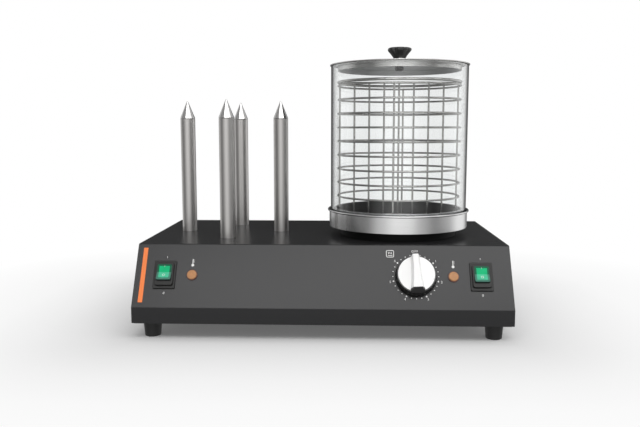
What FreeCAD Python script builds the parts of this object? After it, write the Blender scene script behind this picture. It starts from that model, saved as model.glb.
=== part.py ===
import FreeCAD, Part
import os
import re

import Sketcher
from FreeCAD import Placement, Rotation, Vector

# Hot dog toaster: a sheet metal base with four heated bun spikes and a glass sausage steamer.
# Millimetres. X runs to the right, Y to the back, Z up. The origin is on the floor, in the middle
# of the overall width and of the overall depth from the dial's grip to the cable gland.

document = FreeCAD.newDocument("hot_dog_toaster")

# Driving sizes
SIZES = [
    ("housing_width", 500.0, "casing, side to side"),
    ("housing_depth", 300.0, "casing, front lip to back wall"),
    ("casing_underside", 23.4, "floor to the casing's lower edge"),
    ("lip_height", 21.2, "upright front lip below the sloped panel"),
    ("deck_height", 122.1, "floor to the flat deck"),
    ("panel_setback", 45.35, "front lip back to the deck's front edge"),
    ("sheet", 1.2, "casing sheet"),
    ("bend_radius", 2.0, "outside radius of the casing's folds"),
    ("flange_width", 14.0, "return flange round the casing's open bottom"),
    ("base_thickness", 1.0, "base plate sheet"),
    ("base_inset", 3.0, "base plate edge inside the casing's edge"),
    ("vent_width", 4.0, "ventilation slot"),
    ("base_vent_length", 90.0, "ventilation slot in the base plate"),
    ("rear_vent_length", 26.0, "ventilation slot in the back wall"),
    ("rear_vent_z", 88.0, "middle of the back wall's slots above the floor"),
    ("vent_pitch", 12.0, "ventilation slot spacing"),
    ("foot_x", 229.0, "foot centre from the middle"),
    ("foot_inset", 28.0, "foot centre from the front or back face"),
    ("foot_top_radius", 12.6, "foot where it meets the base plate"),
    ("foot_bottom_radius", 10.8, "foot where it meets the floor"),
    ("foot_recess_radius", 5.0, "screw recess in the foot"),
    ("foot_web", 6.0, "rubber left above the screw recess"),
    ("spike_x", -137.9, "centre of the four spikes from the middle"),
    ("spike_from_front", 177.9, "centre of the four spikes from the front face"),
    ("spike_spread", 70.7, "spike from the centre of the four"),
    ("spike_radius", 11.0, "spike tube, outside"),
    ("spike_length", 169.9, "spike tube, deck to the joint under the tip"),
    ("tip_length", 26.7, "polished tip above the tube"),
    ("tip_end_radius", 0.8, "blunted end of the tip"),
    ("tip_stub_length", 8.0, "plug of the tip inside the tube"),
    ("heater_radius", 6.25, "heating cartridge"),
    ("heater_length", 150.0, "heating cartridge"),
    ("heater_drop", 30.0, "cartridge end below the deck"),
    ("bore_clearance", 0.15, "radial, cartridge or plug in the tube"),
    ("spigot_radius", 8.0, "threaded foot of the tube"),
    ("spigot_length", 16.0, "threaded foot below the deck"),
    ("hole_clearance", 0.3, "radial, a part through a sheet hole"),
    ("nut_height", 8.0, "nut under the deck"),
    ("nut_radius", 13.5, "nut, across its corners, halved"),
    ("steamer_x", 109.0, "steamer axis from the middle"),
    ("steamer_from_front", 161.1, "steamer axis from the front face"),
    ("plinth_inset", 17.0, "black ring inside the tray's wall"),
    ("plinth_wall", 4.0, "black ring's wall"),
    ("plinth_height", 11.6, "deck to the tray's underside"),
    ("hot_plate_gap", 9.0, "cast heating plate inside the black ring"),
    ("hot_plate_thickness", 9.0, "cast heating plate with its element sealed inside"),
    ("terminal_radius", 3.0, "element terminal pin"),
    ("terminal_length", 22.0, "element terminal pin below the plate"),
    ("terminal_spread", 18.0, "terminal pin from the middle"),
    ("tray_clearance", 1.0, "radial, glass inside the tray's wall"),
    ("tray_height", 24.6, "tray underside to the middle of its rolled edge"),
    ("tray_bead", 2.45, "rolled edge beyond the wall"),
    ("tray_sheet", 1.0, "tray sheet"),
    ("pan_clearance", 3.0, "radial, water pan inside the glass"),
    ("pan_height", 26.8, "water pan, overall"),
    ("pan_rim", 1.4, "turned edge of the water pan beyond its wall"),
    ("pan_sheet", 1.0, "water pan sheet"),
    ("seat_gap", 0.3, "a loose part above what it stands on"),
    ("glass_radius", 100.0, "glass cylinder, outside"),
    ("glass_wall", 4.0, "glass thickness"),
    ("glass_height", 233.0, "glass cylinder"),
    ("wire", 2.5, "basket wire"),
    ("basket_clearance", 6.7, "radial, middle of the ring wire inside the glass"),
    ("ring_band", 2.2, "ring wire as a squared section of like area"),
    ("first_ring", 42.9, "lowest free ring above the basket's foot"),
    ("ring_pitch", 20.05, "ring spacing"),
    ("rim_band", 4.0, "thick top ring as a squared section"),
    ("rim_height", 208.3, "middle of the top ring above the basket's foot"),
    ("upright_step", 1.5, "four frame wires inside the rings"),
    ("divider_pitch", 21.8, "spacing of the divider's upright wires"),
    ("lid_overhang", 1.6, "lid rim beyond the glass"),
    ("lid_thickness", 1.6, "lid plate and rim"),
    ("lid_sheet", 0.9, "lid skirt"),
    ("skirt_clearance", 6.2, "radial, lid skirt inside the glass"),
    ("skirt_depth", 7.6, "lid skirt below the rim"),
    ("ferrule_radius", 9.2, "bright collar under the knob"),
    ("ferrule_height", 10.1, "bright collar"),
    ("lid_knob_radius", 17.7, "fluted knob at its widest"),
    ("lid_knob_height", 16.1, "fluted knob"),
    ("lid_knob_shoulder", 11.3, "knob base to its widest point"),
    ("flute_radius", 9.0, "thumb hollow in the knob's side"),
    ("flute_depth", 2.5, "thumb hollow into the knob's widest part"),
    ("lid_screw_radius", 2.5, "screw through the lid"),
    ("lid_boss_radius", 6.1, "dark cap nut under the lid"),
    ("lid_boss_height", 7.0, "dark cap nut"),
    ("stripe_x", -239.0, "coloured stripe, its middle"),
    ("stripe_width", 6.0, "coloured stripe"),
    ("stripe_from", 7.0, "stripe's lower end up the slope"),
    ("stripe_length", 76.7, "stripe along the slope"),
    ("stripe_thickness", 0.3, "stripe film"),
    ("switch_x", 209.7, "switch centre from the middle"),
    ("switch_up", 45.3, "switch centre up the slope"),
    ("bezel_side", 2.55, "switch bezel beyond the collar, each side"),
    ("bezel_end", 3.8, "switch bezel beyond the collar, each end"),
    ("bezel_thickness", 2.2, "switch bezel"),
    ("collar_side", 1.4, "raised collar beyond the switch body, each side"),
    ("collar_end", 0.8, "raised collar beyond the switch body, each end"),
    ("collar_height", 2.8, "collar above the bezel"),
    ("collar_corner", 3.0, "collar's corner radius"),
    ("body_side", 0.8, "switch body's wall beside the rocker"),
    ("body_end", 0.6, "switch body's wall at the rocker's ends"),
    ("switch_body_depth", 24.0, "switch body behind the panel"),
    ("cavity_floor", 3.0, "plastic behind the rocker's cavity"),
    ("rocker_width", 19.2, "rocker"),
    ("rocker_gap", 0.4, "rocker to its cavity, each side"),
    ("rocker_room", 1.43, "rocker to its cavity, each end, for its swing"),
    ("rocker_tilt", 9.0, "degrees from level, each way"),
    ("rocker_pivot_depth", 7.0, "pivot behind the panel's face"),
    ("rocker_pin_radius", 1.5, "rocker pivot pin"),
    ("pivot_clearance", 0.05, "radial, pivot pin in its hole"),
    ("rocker_edge", 11.27, "rocker's raised edge from its middle"),
    ("rocker_crown", 14.42, "rocker's raised edge above the pivot"),
    ("rocker_valley", 12.66, "rocker's middle above the pivot"),
    ("lens_thickness", 2.0, "green cap on the rocker"),
    ("rocker_bulge", 1.6, "rocker's end face beyond its raised edge"),
    ("rocker_heel", 1.5, "rocker's end face above the pivot, at its lowest"),
    ("pin_web", 1.5, "plastic round the pivot pin"),
    ("pin_end_play", 0.1, "pivot pin inside the switch body, each end"),
    ("lamp_x", 173.2, "pilot lamp centre from the middle"),
    ("lamp_up", 45.3, "pilot lamp centre up the slope"),
    ("lamp_flange_radius", 7.4, "pilot lamp collar"),
    ("lamp_flange_height", 1.2, "pilot lamp collar"),
    ("lamp_lens_radius", 6.3, "amber lens"),
    ("lamp_lens_height", 2.6, "amber lens above the panel"),
    ("lamp_barrel_radius", 5.4, "lamp barrel behind the panel"),
    ("lamp_barrel_depth", 22.0, "lamp barrel behind the panel"),
    ("dial_x", 123.85, "dial centre from the middle"),
    ("dial_up", 45.4, "dial centre up the slope"),
    ("dial_gap", 0.6, "dial skirt above the panel"),
    ("dial_skirt_radius", 27.5, "dial skirt at the panel"),
    ("dial_top_radius", 25.6, "dial skirt under the face"),
    ("dial_height", 12.0, "dial face above the panel"),
    ("face_radius", 25.2, "white face plate"),
    ("face_thickness", 0.8, "white face plate"),
    ("grip_height", 7.0, "grip bar above the face"),
    ("grip_nose", 25.6, "grip's pointer end from the axis"),
    ("grip_tail", 25.6, "black tail of the grip from the axis, at its foot"),
    ("cover_tail", 19.7, "white cover's other end from the axis"),
    ("tail_step", 0.8, "grip's black end beyond the white cover, at its top"),
    ("grip_nose_half", 5.6, "half the grip's width at its foot, pointer end"),
    ("grip_tail_half", 10.0, "half the grip's width at its foot, tail end"),
    ("grip_hollow", 90.0, "radius of the grip's hollow sides"),
    ("cover_gap", 0.1, "grip core inside its white cover"),
    ("shaft_radius", 3.0, "regulator shaft"),
    ("shaft_bush_radius", 5.0, "threaded bush of the regulator"),
    ("regulator_width", 38.0, "regulator case"),
    ("regulator_length", 34.0, "regulator case"),
    ("regulator_depth", 24.0, "regulator case"),
    ("gland_x", 150.0, "cable gland from the middle"),
    ("gland_z", 52.0, "cable gland above the floor"),
    ("gland_reach", 18.0, "cable gland behind the back wall"),
    ("gland_radius", 10.5, "gland cap, across its corners, halved"),
    ("gland_thread_radius", 8.0, "gland thread"),
    ("gland_bore_radius", 4.2, "gland's cable hole"),
    ("gland_thread_length", 12.0, "gland thread inside the wall"),
    ("gland_nut_height", 5.0, "gland lock nut"),
    ("block_width", 48.0, "terminal block"),
    ("block_depth", 20.0, "terminal block"),
    ("block_height", 17.0, "terminal block"),
    ("block_from_back", 60.0, "terminal block from the back face"),
]
# Four places round a centre, as the factors before the distance along X and along Y
AROUND = [("left", "-", "0 *"), ("front", "0 *", "-"), ("rear", "0 *", ""), ("right", "", "0 *")]
RING_SIDES = 20
LARGE_SIDES = 40
SMALL_SIDES = 20
PIN_SIDES = 12
FREE_RINGS = 9
VENTS_PER_ROW = 12
FLUTES = 6

sheet = document.addObject("Spreadsheet::Sheet", "sizes")
for row, (name, size, meaning) in enumerate(SIZES, start=1):
    sheet.set(f"A{row}", meaning)
    sheet.set(f"B{row}", str(size))
    sheet.setAlias(f"B{row}", name)
document.recompute()
SIZE_NAMES = {name for name, _, _ in SIZES}


def bound(text):
    """The expression that reads each size named in the text from the sheet."""
    return re.sub("[a-z_]+", lambda word: "sizes." * (word[0] in SIZE_NAMES) + word[0], text)


def number(text):
    """What a text of sizes comes to now."""
    result = sheet.evalExpression(bound(text))
    return float(getattr(result, "Value", result))


# Places that several parts share
LIP_TOP = "(casing_underside + lip_height)"
RISE = "(atan2(deck_height - casing_underside - lip_height; panel_setback) / 1 deg)"
OVERHANG = f"((dial_height + grip_height) * sin({RISE}) - (dial_up - cover_tail) * cos({RISE}))"
FRONT = f"(({OVERHANG} - housing_depth - gland_reach) / 2)"
TRAY_Z = "(deck_height + plinth_height)"
TRAY_FLOOR_Z = f"({TRAY_Z} + tray_sheet)"
GLASS_Z = f"({TRAY_FLOOR_Z} + seat_gap)"
LID_Z = f"({GLASS_Z} + glass_height + seat_gap)"
BASKET_Z = f"({TRAY_FLOOR_Z} + pan_sheet + seat_gap)"
CAVITY_WIDTH = "(rocker_width + 2 * rocker_gap)"
CAVITY_LENGTH = "(2 * (rocker_edge + rocker_bulge + rocker_room))"
BODY_WIDTH = f"({CAVITY_WIDTH} + 2 * body_side)"
BODY_LENGTH = f"({CAVITY_LENGTH} + 2 * body_end)"
COLLAR_WIDTH = f"({BODY_WIDTH} + 2 * collar_side)"
COLLAR_LENGTH = f"({BODY_LENGTH} + 2 * collar_end)"
STEAMER_Y = f"({FRONT} + steamer_from_front)"
SPIKE_Y = f"({FRONT} + spike_from_front)"
TRAY_RADIUS = "(glass_radius + tray_clearance + tray_sheet)"
PLINTH_RADIUS = f"({TRAY_RADIUS} - plinth_inset)"
GLASS_INSIDE = "(glass_radius - glass_wall)"
PAN_RADIUS = f"({GLASS_INSIDE} - pan_clearance)"
RING_RADIUS = f"({GLASS_INSIDE} - basket_clearance)"
SKIRT_RADIUS = f"({GLASS_INSIDE} - skirt_clearance)"


def place(node, x="0", y="0", z="0", lean=None):
    """Bind a part's position, and its turn about X where it leans."""
    if lean:
        node.Placement = Placement(Vector(), Rotation(Vector(1, 0, 0), number(lean)))
        node.setExpression("Placement.Rotation.Angle", bound(lean))
    for axis, text in zip("xyz", (x, y, z)):
        node.setExpression(f"Placement.Base.{axis}", bound(text))
    return node


def place_on_panel(node, x, up, out="0", lean=RISE):
    """Place a part at x, up the slope and out from the panel's face, its own Z along the panel's normal."""
    y = f"{FRONT} + {up} * cos({RISE}) - ({out}) * sin({RISE})"
    z = f"{LIP_TOP} + {up} * sin({RISE}) + ({out}) * cos({RISE})"
    return place(node, x, y, z, lean)


def new_body(label):
    body = document.addObject("PartDesign::Body", label)
    body.Label = label
    return body


def own(body, role):
    """One of the body's own planes or axes."""
    return next(item for item in body.Origin.OriginFeatures if item.Role == role)


def new_sketch(body, plane, name, x="0", y="0", z="0", lean=None):
    """A sketch on one of the body's own planes, moved by bound distances and leaned about X."""
    drawing = body.newObject("Sketcher::SketchObject", name)
    drawing.AttachmentSupport = (own(body, plane), "")
    drawing.MapMode = "FlatFace"
    if lean:
        drawing.AttachmentOffset = Placement(Vector(), Rotation(Vector(1, 0, 0), number(lean)))
        drawing.setExpression("AttachmentOffset.Rotation.Angle", bound(lean))
    for axis, text in zip("xyz", (x, y, z)):
        if text != "0":
            drawing.setExpression(f"AttachmentOffset.Base.{axis}", bound(text))
    return drawing


def constrain(drawing, kind, elements, text):
    """One driving dimension of a sketch, bound to the sheet."""
    index = drawing.addConstraint(Sketcher.Constraint(kind, *elements, number(text)))
    drawing.setExpression(f"Constraints[{index}]", bound(text))


def hold(drawing, geometry, point, x, y):
    """Fix a point of a sketch by its two distances from the sketch's origin."""
    constrain(drawing, "DistanceX", (-1, 1, geometry, point), x)
    constrain(drawing, "DistanceY", (-1, 1, geometry, point), y)


def add_circle(drawing, x, y, radius):
    centre = Vector(number(x), number(y), 0)
    geometry = drawing.addGeometry(Part.Circle(centre, Vector(0, 0, 1), number(radius)))
    hold(drawing, geometry, 3, x, y)
    constrain(drawing, "Radius", (geometry,), radius)


def add_outline(drawing, corners):
    """A closed outline. A corner (x, y) ends a straight side, and (x, y, radius) ends an arc that
    bulges to the right of the way round, or to the left where the radius starts with a minus."""
    ends = [Vector(number(corner[0]), number(corner[1]), 0) for corner in corners]
    first = drawing.GeometryCount
    sides = []
    for index, corner in enumerate(corners):
        start, end = ends[index - 1], ends[index]
        if len(corner) == 2:
            drawing.addGeometry(Part.LineSegment(start, end))
            sides.append((1, 2))
            continue
        radius = number(corner[2])
        chord = end - start
        rise = (radius * radius - chord.Length ** 2 / 4) ** 0.5
        left = Vector(-chord.y, chord.x, 0).normalize()
        bulge = left * (abs(radius) - rise) * (-1 if radius > 0 else 1)
        middle = (start + end) * 0.5 + bulge
        # An arc is kept anticlockwise, so one that bulges to the left is drawn from its far end.
        anticlockwise = radius > 0
        drawing.addGeometry(Part.ArcOfCircle(start, middle, end) if anticlockwise
                            else Part.ArcOfCircle(end, middle, start))
        sides.append((1, 2) if anticlockwise else (2, 1))
    count = len(corners)
    for index in range(count):
        following = (index + 1) % count
        ends_here = (first + index, sides[index][1], first + following, sides[following][0])
        drawing.addConstraint(Sketcher.Constraint("Coincident", *ends_here))
    for index, corner in enumerate(corners):
        hold(drawing, first + index, sides[index][1], corner[0], corner[1])
        if len(corner) == 3:
            constrain(drawing, "Radius", (first + index,), corner[2].lstrip("-"))


def add_rectangle(drawing, width, length, x="0", y="0"):
    left, right = f"{x} - {width} / 2", f"{x} + {width} / 2"
    low, high = f"{y} - {length} / 2", f"{y} + {length} / 2"
    add_outline(drawing, [(left, low), (right, low), (right, high), (left, high)])


def add_rounded_rectangle(drawing, width, length, corner):
    """A rectangle round the sketch's origin, with an arc at each corner."""
    wide, narrow = f"({width}) / 2", f"(({width}) / 2 - ({corner}))"
    far, near = f"({length}) / 2", f"(({length}) / 2 - ({corner}))"
    add_outline(drawing, [
        (narrow, "-" + far), (wide, "-" + near, corner), (wide, near), (narrow, far, corner),
        ("-" + narrow, far), ("-" + wide, near, corner),
        ("-" + wide, "-" + near), ("-" + narrow, "-" + far, corner)])


def extrude(body, drawing, name, length, cut=False, both_ways=False, reverse=False):
    """Pad a sketch, or cut it out, over a bound length."""
    feature = body.newObject("PartDesign::Pocket" if cut else "PartDesign::Pad", name)
    feature.Profile = drawing
    feature.setExpression("Length", bound(length))
    if both_ways:
        feature.SideType = "Symmetric"
    feature.Reversed = reverse
    drawing.Visibility = False
    body.Tip = feature
    return feature


def add_prism(body, name, sides, radius, low, high, cut=False):
    """A many-sided round about the body's Z, added to the body or taken out of it."""
    feature = body.newObject("PartDesign::SubtractivePrism" if cut else "PartDesign::AdditivePrism", name)
    feature.Polygon = sides
    feature.setExpression("Circumradius", bound(radius))
    feature.setExpression("Height", bound(f"{high} - ({low})"))
    if low != "0":
        feature.setExpression("Placement.Base.z", bound(low))
    body.Tip = feature
    return feature


def taper(body, name, radius_low, radius_high, sides, height):
    """Lean all upright sides of the body so that the radius at its foot becomes the one at its top."""
    document.recompute()
    base = body.Tip
    upright = [f"Face{index}" for index, face in enumerate(base.Shape.Faces, start=1)
               if abs(face.normalAt(0, 0).z) < 0.5]
    feature = body.newObject("PartDesign::Draft", name)
    feature.Base = (base, upright)
    feature.NeutralPlane = (own(body, "XY_Plane"), [""])
    feature.Reversed = number(radius_low) < number(radius_high)
    wide, narrow = (radius_high, radius_low) if feature.Reversed else (radius_low, radius_high)
    feature.setExpression("Angle", bound(f"atan(({wide} - {narrow}) * cos(180 / {sides}) / ({height}))"))
    body.Tip = feature
    return feature


def round_edges(body, name, radius, chosen):
    """Fillet the body's edges for which chosen(edge) holds."""
    document.recompute()
    base = body.Tip
    picked = [f"Edge{index}" for index, edge in enumerate(base.Shape.Edges, start=1) if chosen(edge)]
    feature = body.newObject("PartDesign::Fillet", name)
    feature.Base = (base, picked)
    feature.setExpression("Radius", bound(radius))
    body.Tip = feature
    return feature


def repeat_in_line(body, feature, name, axis, length, occurrences):
    """Repeat a feature along one of the body's own axes."""
    pattern = body.newObject("PartDesign::LinearPattern", name)
    pattern.Originals = [feature]
    pattern.Direction = (own(body, axis), [""])
    pattern.setExpression("Length", bound(length))
    pattern.Occurrences = occurrences
    body.Tip = pattern
    return pattern


def primitive(kind, name, **sizes):
    """A Part primitive with its sizes bound to the sheet."""
    shape = document.addObject("Part::" + kind, name)
    for prop, text in sizes.items():
        shape.setExpression(prop, bound(text))
    return shape


def cut(label, base, tool):
    result = document.addObject("Part::Cut", label)
    result.Base = base
    result.Tool = tool
    return result


def overlap(label, base, tool):
    result = document.addObject("Part::Common", label)
    result.Base = base
    result.Tool = tool
    return result


def prism(name, sides, radius, low, high):
    piece = primitive("Prism", name, Circumradius=radius, Height=f"{high} - ({low})")
    piece.Polygon = sides
    return place(piece, z=low)


def turned(label, sides, tiers, bores=()):
    """A round part built up of tiers (radius, low, high) about Z, less its bores, given alike."""
    metal = [prism(f"{label}_tier_{index}", sides, *tier) for index, tier in enumerate(tiers, start=1)]
    holes = [prism(f"{label}_bore_{index}", sides, *bore) for index, bore in enumerate(bores, start=1)]
    if not holes:
        return weld(label, metal)
    solid = weld(label + "_metal", metal) if len(metal) > 1 else metal[0]
    return cut(label, solid, weld(label + "_bores", holes) if len(holes) > 1 else holes[0])


def group(label, members):
    """Like pieces that share one node as separate solids."""
    result = document.addObject("Part::Compound", label)
    result.Links = members
    return result


def weld(label, members):
    """Wires joined into one piece."""
    result = document.addObject("Part::MultiFuse", label)
    result.Shapes = members
    result.Refine = True
    return result


nodes = []

# Casing: one folded sheet with a lip, a sloped panel, a deck and a back, closed by welded sides.
# It is open below, with a flange turned in all round for the base plate.
housing = new_body("housing")
place(housing, y=FRONT)
side_profile = new_sketch(housing, "YZ_Plane", "casing_profile")
add_outline(side_profile, [("0", "casing_underside"), ("housing_depth", "casing_underside"),
                           ("housing_depth", "deck_height"), ("panel_setback", "deck_height"),
                           ("0", LIP_TOP)])
extrude(housing, side_profile, "casing_block", "housing_width", both_ways=True)
bottom_z = number("casing_underside")
round_edges(housing, "casing_folds", "bend_radius",
            lambda edge: edge.BoundBox.XLength > 1 and edge.BoundBox.ZMin > bottom_z + 1)
void_profile = new_sketch(housing, "YZ_Plane", "void_profile")
add_outline(void_profile, [("sheet", "casing_underside + sheet"),
                           ("housing_depth - sheet", "casing_underside + sheet"),
                           ("housing_depth - sheet", "deck_height - sheet"),
                           (f"panel_setback + sheet * tan({RISE} / 2)", "deck_height - sheet"),
                           ("sheet", f"{LIP_TOP} - sheet * tan(45 - {RISE} / 2)")])
extrude(housing, void_profile, "casing_void", "housing_width - 2 * sheet", cut=True, both_ways=True)
mouth = new_sketch(housing, "XY_Plane", "bottom_opening", z="casing_underside")
add_rectangle(mouth, "(housing_width - 2 * flange_width)", "(housing_depth - 2 * flange_width)",
              y="housing_depth / 2")
extrude(housing, mouth, "bottom_opening_cut", "6 * sheet", cut=True, both_ways=True)
panel_holes = new_sketch(housing, "XY_Plane", "panel_holes", z=LIP_TOP, lean=RISE)
for side in ("-", ""):
    add_rectangle(panel_holes, f"({BODY_WIDTH} + 2 * hole_clearance)",
                  f"({BODY_LENGTH} + 2 * hole_clearance)", side + "switch_x", "switch_up")
    add_circle(panel_holes, side + "lamp_x", "lamp_up", "lamp_barrel_radius + hole_clearance")
add_circle(panel_holes, "dial_x", "dial_up", "shaft_bush_radius + hole_clearance")
extrude(housing, panel_holes, "panel_holes_cut", "6 * sheet", cut=True, both_ways=True)
deck_holes = new_sketch(housing, "XY_Plane", "deck_holes", z="deck_height")
for _, across, along in AROUND:
    add_circle(deck_holes, f"spike_x + {across} spike_spread", f"spike_from_front + {along} spike_spread",
               "spigot_radius + hole_clearance")
for side in ("-", "+"):
    add_circle(deck_holes, f"steamer_x {side} terminal_spread", "steamer_from_front",
               "terminal_radius + 5 * hole_clearance")
extrude(housing, deck_holes, "deck_holes_cut", "6 * sheet", cut=True, both_ways=True)
rear_hole = new_sketch(housing, "XZ_Plane", "rear_hole", z="-housing_depth")
add_circle(rear_hole, "gland_x", "gland_z", "gland_thread_radius + hole_clearance")
extrude(housing, rear_hole, "rear_hole_cut", "6 * sheet", cut=True, both_ways=True)
rear_vent = new_sketch(housing, "XZ_Plane", "rear_vent", z="-housing_depth")
add_rectangle(rear_vent, "vent_width", "rear_vent_length", f"-vent_pitch * {(VENTS_PER_ROW - 1) / 2}",
              "rear_vent_z")
vent_cut = extrude(housing, rear_vent, "rear_vent_cut", "6 * sheet", cut=True, both_ways=True)
repeat_in_line(housing, vent_cut, "rear_vents", "X_Axis", f"vent_pitch * {VENTS_PER_ROW - 1}", VENTS_PER_ROW)
nodes.append(housing)

# Base plate: a flat sheet under the flange, with a row of slots for air
base_plate = new_body("base_plate")
place(base_plate, y=f"{FRONT} + housing_depth / 2", z="casing_underside - base_thickness")
base_outline = new_sketch(base_plate, "XY_Plane", "base_outline")
add_rectangle(base_outline, "(housing_width - 2 * base_inset)", "(housing_depth - 2 * base_inset)")
extrude(base_plate, base_outline, "base_sheet", "base_thickness")
base_vent = new_sketch(base_plate, "XY_Plane", "base_vent")
add_rectangle(base_vent, "vent_width", "base_vent_length", f"-vent_pitch * {(VENTS_PER_ROW - 1) / 2}", "0")
base_vent_cut = extrude(base_plate, base_vent, "base_vent_cut", "6 * base_thickness", cut=True,
                        both_ways=True)
repeat_in_line(base_plate, base_vent_cut, "base_vents", "X_Axis", f"vent_pitch * {VENTS_PER_ROW - 1}",
               VENTS_PER_ROW)
nodes.append(base_plate)

# Feet: tapered rubber with a recess for the screw head
FOOT_HEIGHT = "(casing_underside - base_thickness)"
for depth_name, from_front in (("front", "foot_inset"), ("rear", "(housing_depth - foot_inset)")):
    for side_name, side in (("left", "-"), ("right", "")):
        foot_name = f"foot_{depth_name}_{side_name}"
        foot = new_body(foot_name)
        add_prism(foot, foot_name + "_rubber", SMALL_SIDES, "foot_bottom_radius", "0", FOOT_HEIGHT)
        taper(foot, foot_name + "_taper", "foot_bottom_radius", "foot_top_radius", SMALL_SIDES, FOOT_HEIGHT)
        add_prism(foot, foot_name + "_recess", PIN_SIDES, "foot_recess_radius", "0",
                  f"{FOOT_HEIGHT} - foot_web", cut=True)
        place(foot, side + "foot_x", f"{FRONT} + {from_front}")
        nodes.append(foot)

# Bun spikes: a heavy tube with a threaded foot through the deck, a polished tip and a cartridge
spike_nuts = []
for name, across, along in AROUND:
    x = f"spike_x + {across} spike_spread"
    y = f"{SPIKE_Y} + {along} spike_spread"
    tube = turned(f"spike_tube_{name}", SMALL_SIDES,
                  [("spigot_radius", "-spigot_length", "0"), ("spike_radius", "0", "spike_length")],
                  [("heater_radius + bore_clearance", "-spigot_length", "spike_length")])
    place(tube, x, y, "deck_height")
    tip = new_body(f"spike_tip_{name}")
    add_prism(tip, f"tip_point_{name}", SMALL_SIDES, "spike_radius", "0", "tip_length")
    taper(tip, f"tip_taper_{name}", "spike_radius", "tip_end_radius", SMALL_SIDES, "tip_length")
    add_prism(tip, f"tip_stub_{name}", SMALL_SIDES, "heater_radius", "-tip_stub_length", "0")
    place(tip, x, y, "deck_height + spike_length")
    heater = prism(f"spike_heater_{name}", SMALL_SIDES, "heater_radius", "0", "heater_length")
    place(heater, x, y, "deck_height - heater_drop")
    nodes.extend([tube, tip, heater])
    blank = prism(f"nut_blank_{name}", 6, "nut_radius", "0", "nut_height")
    hole = prism(f"nut_hole_{name}", SMALL_SIDES, "spigot_radius + bore_clearance", "0", "nut_height")
    nut = cut(f"nut_{name}", blank, hole)
    place(nut, x, y, "deck_height - sheet - nut_height")
    spike_nuts.append(nut)
nodes.append(group("spike_nuts", spike_nuts))

# Steamer base: a black ring lifts the tray off the deck, round the cast heating plate
plinth = turned("steamer_plinth", LARGE_SIDES, [(PLINTH_RADIUS, "0", "plinth_height")],
                [(f"{PLINTH_RADIUS} - plinth_wall", "0", "plinth_height")])
place(plinth, "steamer_x", STEAMER_Y, "deck_height")
hot_plate = prism("heating_plate", LARGE_SIDES, f"{PLINTH_RADIUS} - plinth_wall - hot_plate_gap", "0",
                  "hot_plate_thickness")
place(hot_plate, "steamer_x", STEAMER_Y, f"{TRAY_Z} - hot_plate_thickness")
pins = []
for side in ("-", "+"):
    pin = prism(f"terminal_{len(pins) + 1}", PIN_SIDES, "terminal_radius", "0", "terminal_length")
    place(pin, f"steamer_x {side} terminal_spread", STEAMER_Y,
          f"{TRAY_Z} - hot_plate_thickness - terminal_length")
    pins.append(pin)
nodes.extend([plinth, hot_plate, group("element_terminals", pins)])

# Tray: deep drawn stainless with a rolled edge, where the glass stands
BEAD_LOW = "(tray_height - tray_bead / 2)"
BEAD_HIGH = "(tray_height + tray_bead / 2)"
tray = turned("steam_tray", LARGE_SIDES,
              [(TRAY_RADIUS, "0", BEAD_LOW), (f"{TRAY_RADIUS} + tray_bead", BEAD_LOW, BEAD_HIGH)],
              [(f"{TRAY_RADIUS} - tray_sheet", "tray_sheet", BEAD_HIGH)])
place(tray, "steamer_x", STEAMER_Y, TRAY_Z)
pan = turned("water_pan", LARGE_SIDES,
             [(PAN_RADIUS, "0", "pan_height - pan_rim"),
              (f"{PAN_RADIUS} + pan_rim", "pan_height - pan_rim", "pan_height")],
             [(f"{PAN_RADIUS} - pan_sheet", "pan_sheet", "pan_height")])
place(pan, "steamer_x", STEAMER_Y, TRAY_FLOOR_Z)
nodes.extend([tray, pan])

# Glass cylinder, open at both ends
glass = turned("glass_cylinder", LARGE_SIDES, [("glass_radius", "0", "glass_height")],
               [(GLASS_INSIDE, "0", "glass_height")])
place(glass, "steamer_x", STEAMER_Y, GLASS_Z)
nodes.append(glass)


def wire_ring(name, radius, band, height):
    """A wire ring with many short sides and a squared section, its middle at the given height."""
    low, high = f"{height} - {band} / 2", f"{height} + {band} / 2"
    outer = prism(name + "_outer", RING_SIDES, f"{radius} + {band} / 2", low, high)
    return cut(name, outer, prism(name + "_inner", RING_SIDES, f"{radius} - {band} / 2", low, high))


def wire_upright(name, x, y, low, high):
    upright = primitive("Prism", name, Circumradius="wire / 2", Height=f"{high} - ({low})")
    upright.Polygon = 4
    return place(upright, x, y, low)


def wire_bar(name, axis, x, y, z, length):
    """A straight wire that runs along X or Y, with its middle at x and y."""
    bar = primitive("Prism", name, Circumradius="wire / 2", Height=length)
    bar.Polygon = 4
    along = Vector(1, 0, 0) if axis == "x" else Vector(0, 1, 0)
    bar.Placement = Placement(Vector(), Rotation(Vector(0, 0, 1), along))
    starts = {"x": x, "y": y, "z": z}
    starts[axis] = f"{starts[axis]} - ({length}) / 2"
    for name_of_axis, text in starts.items():
        bar.setExpression(f"Placement.Base.{name_of_axis}", bound(text))
    return bar


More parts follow.
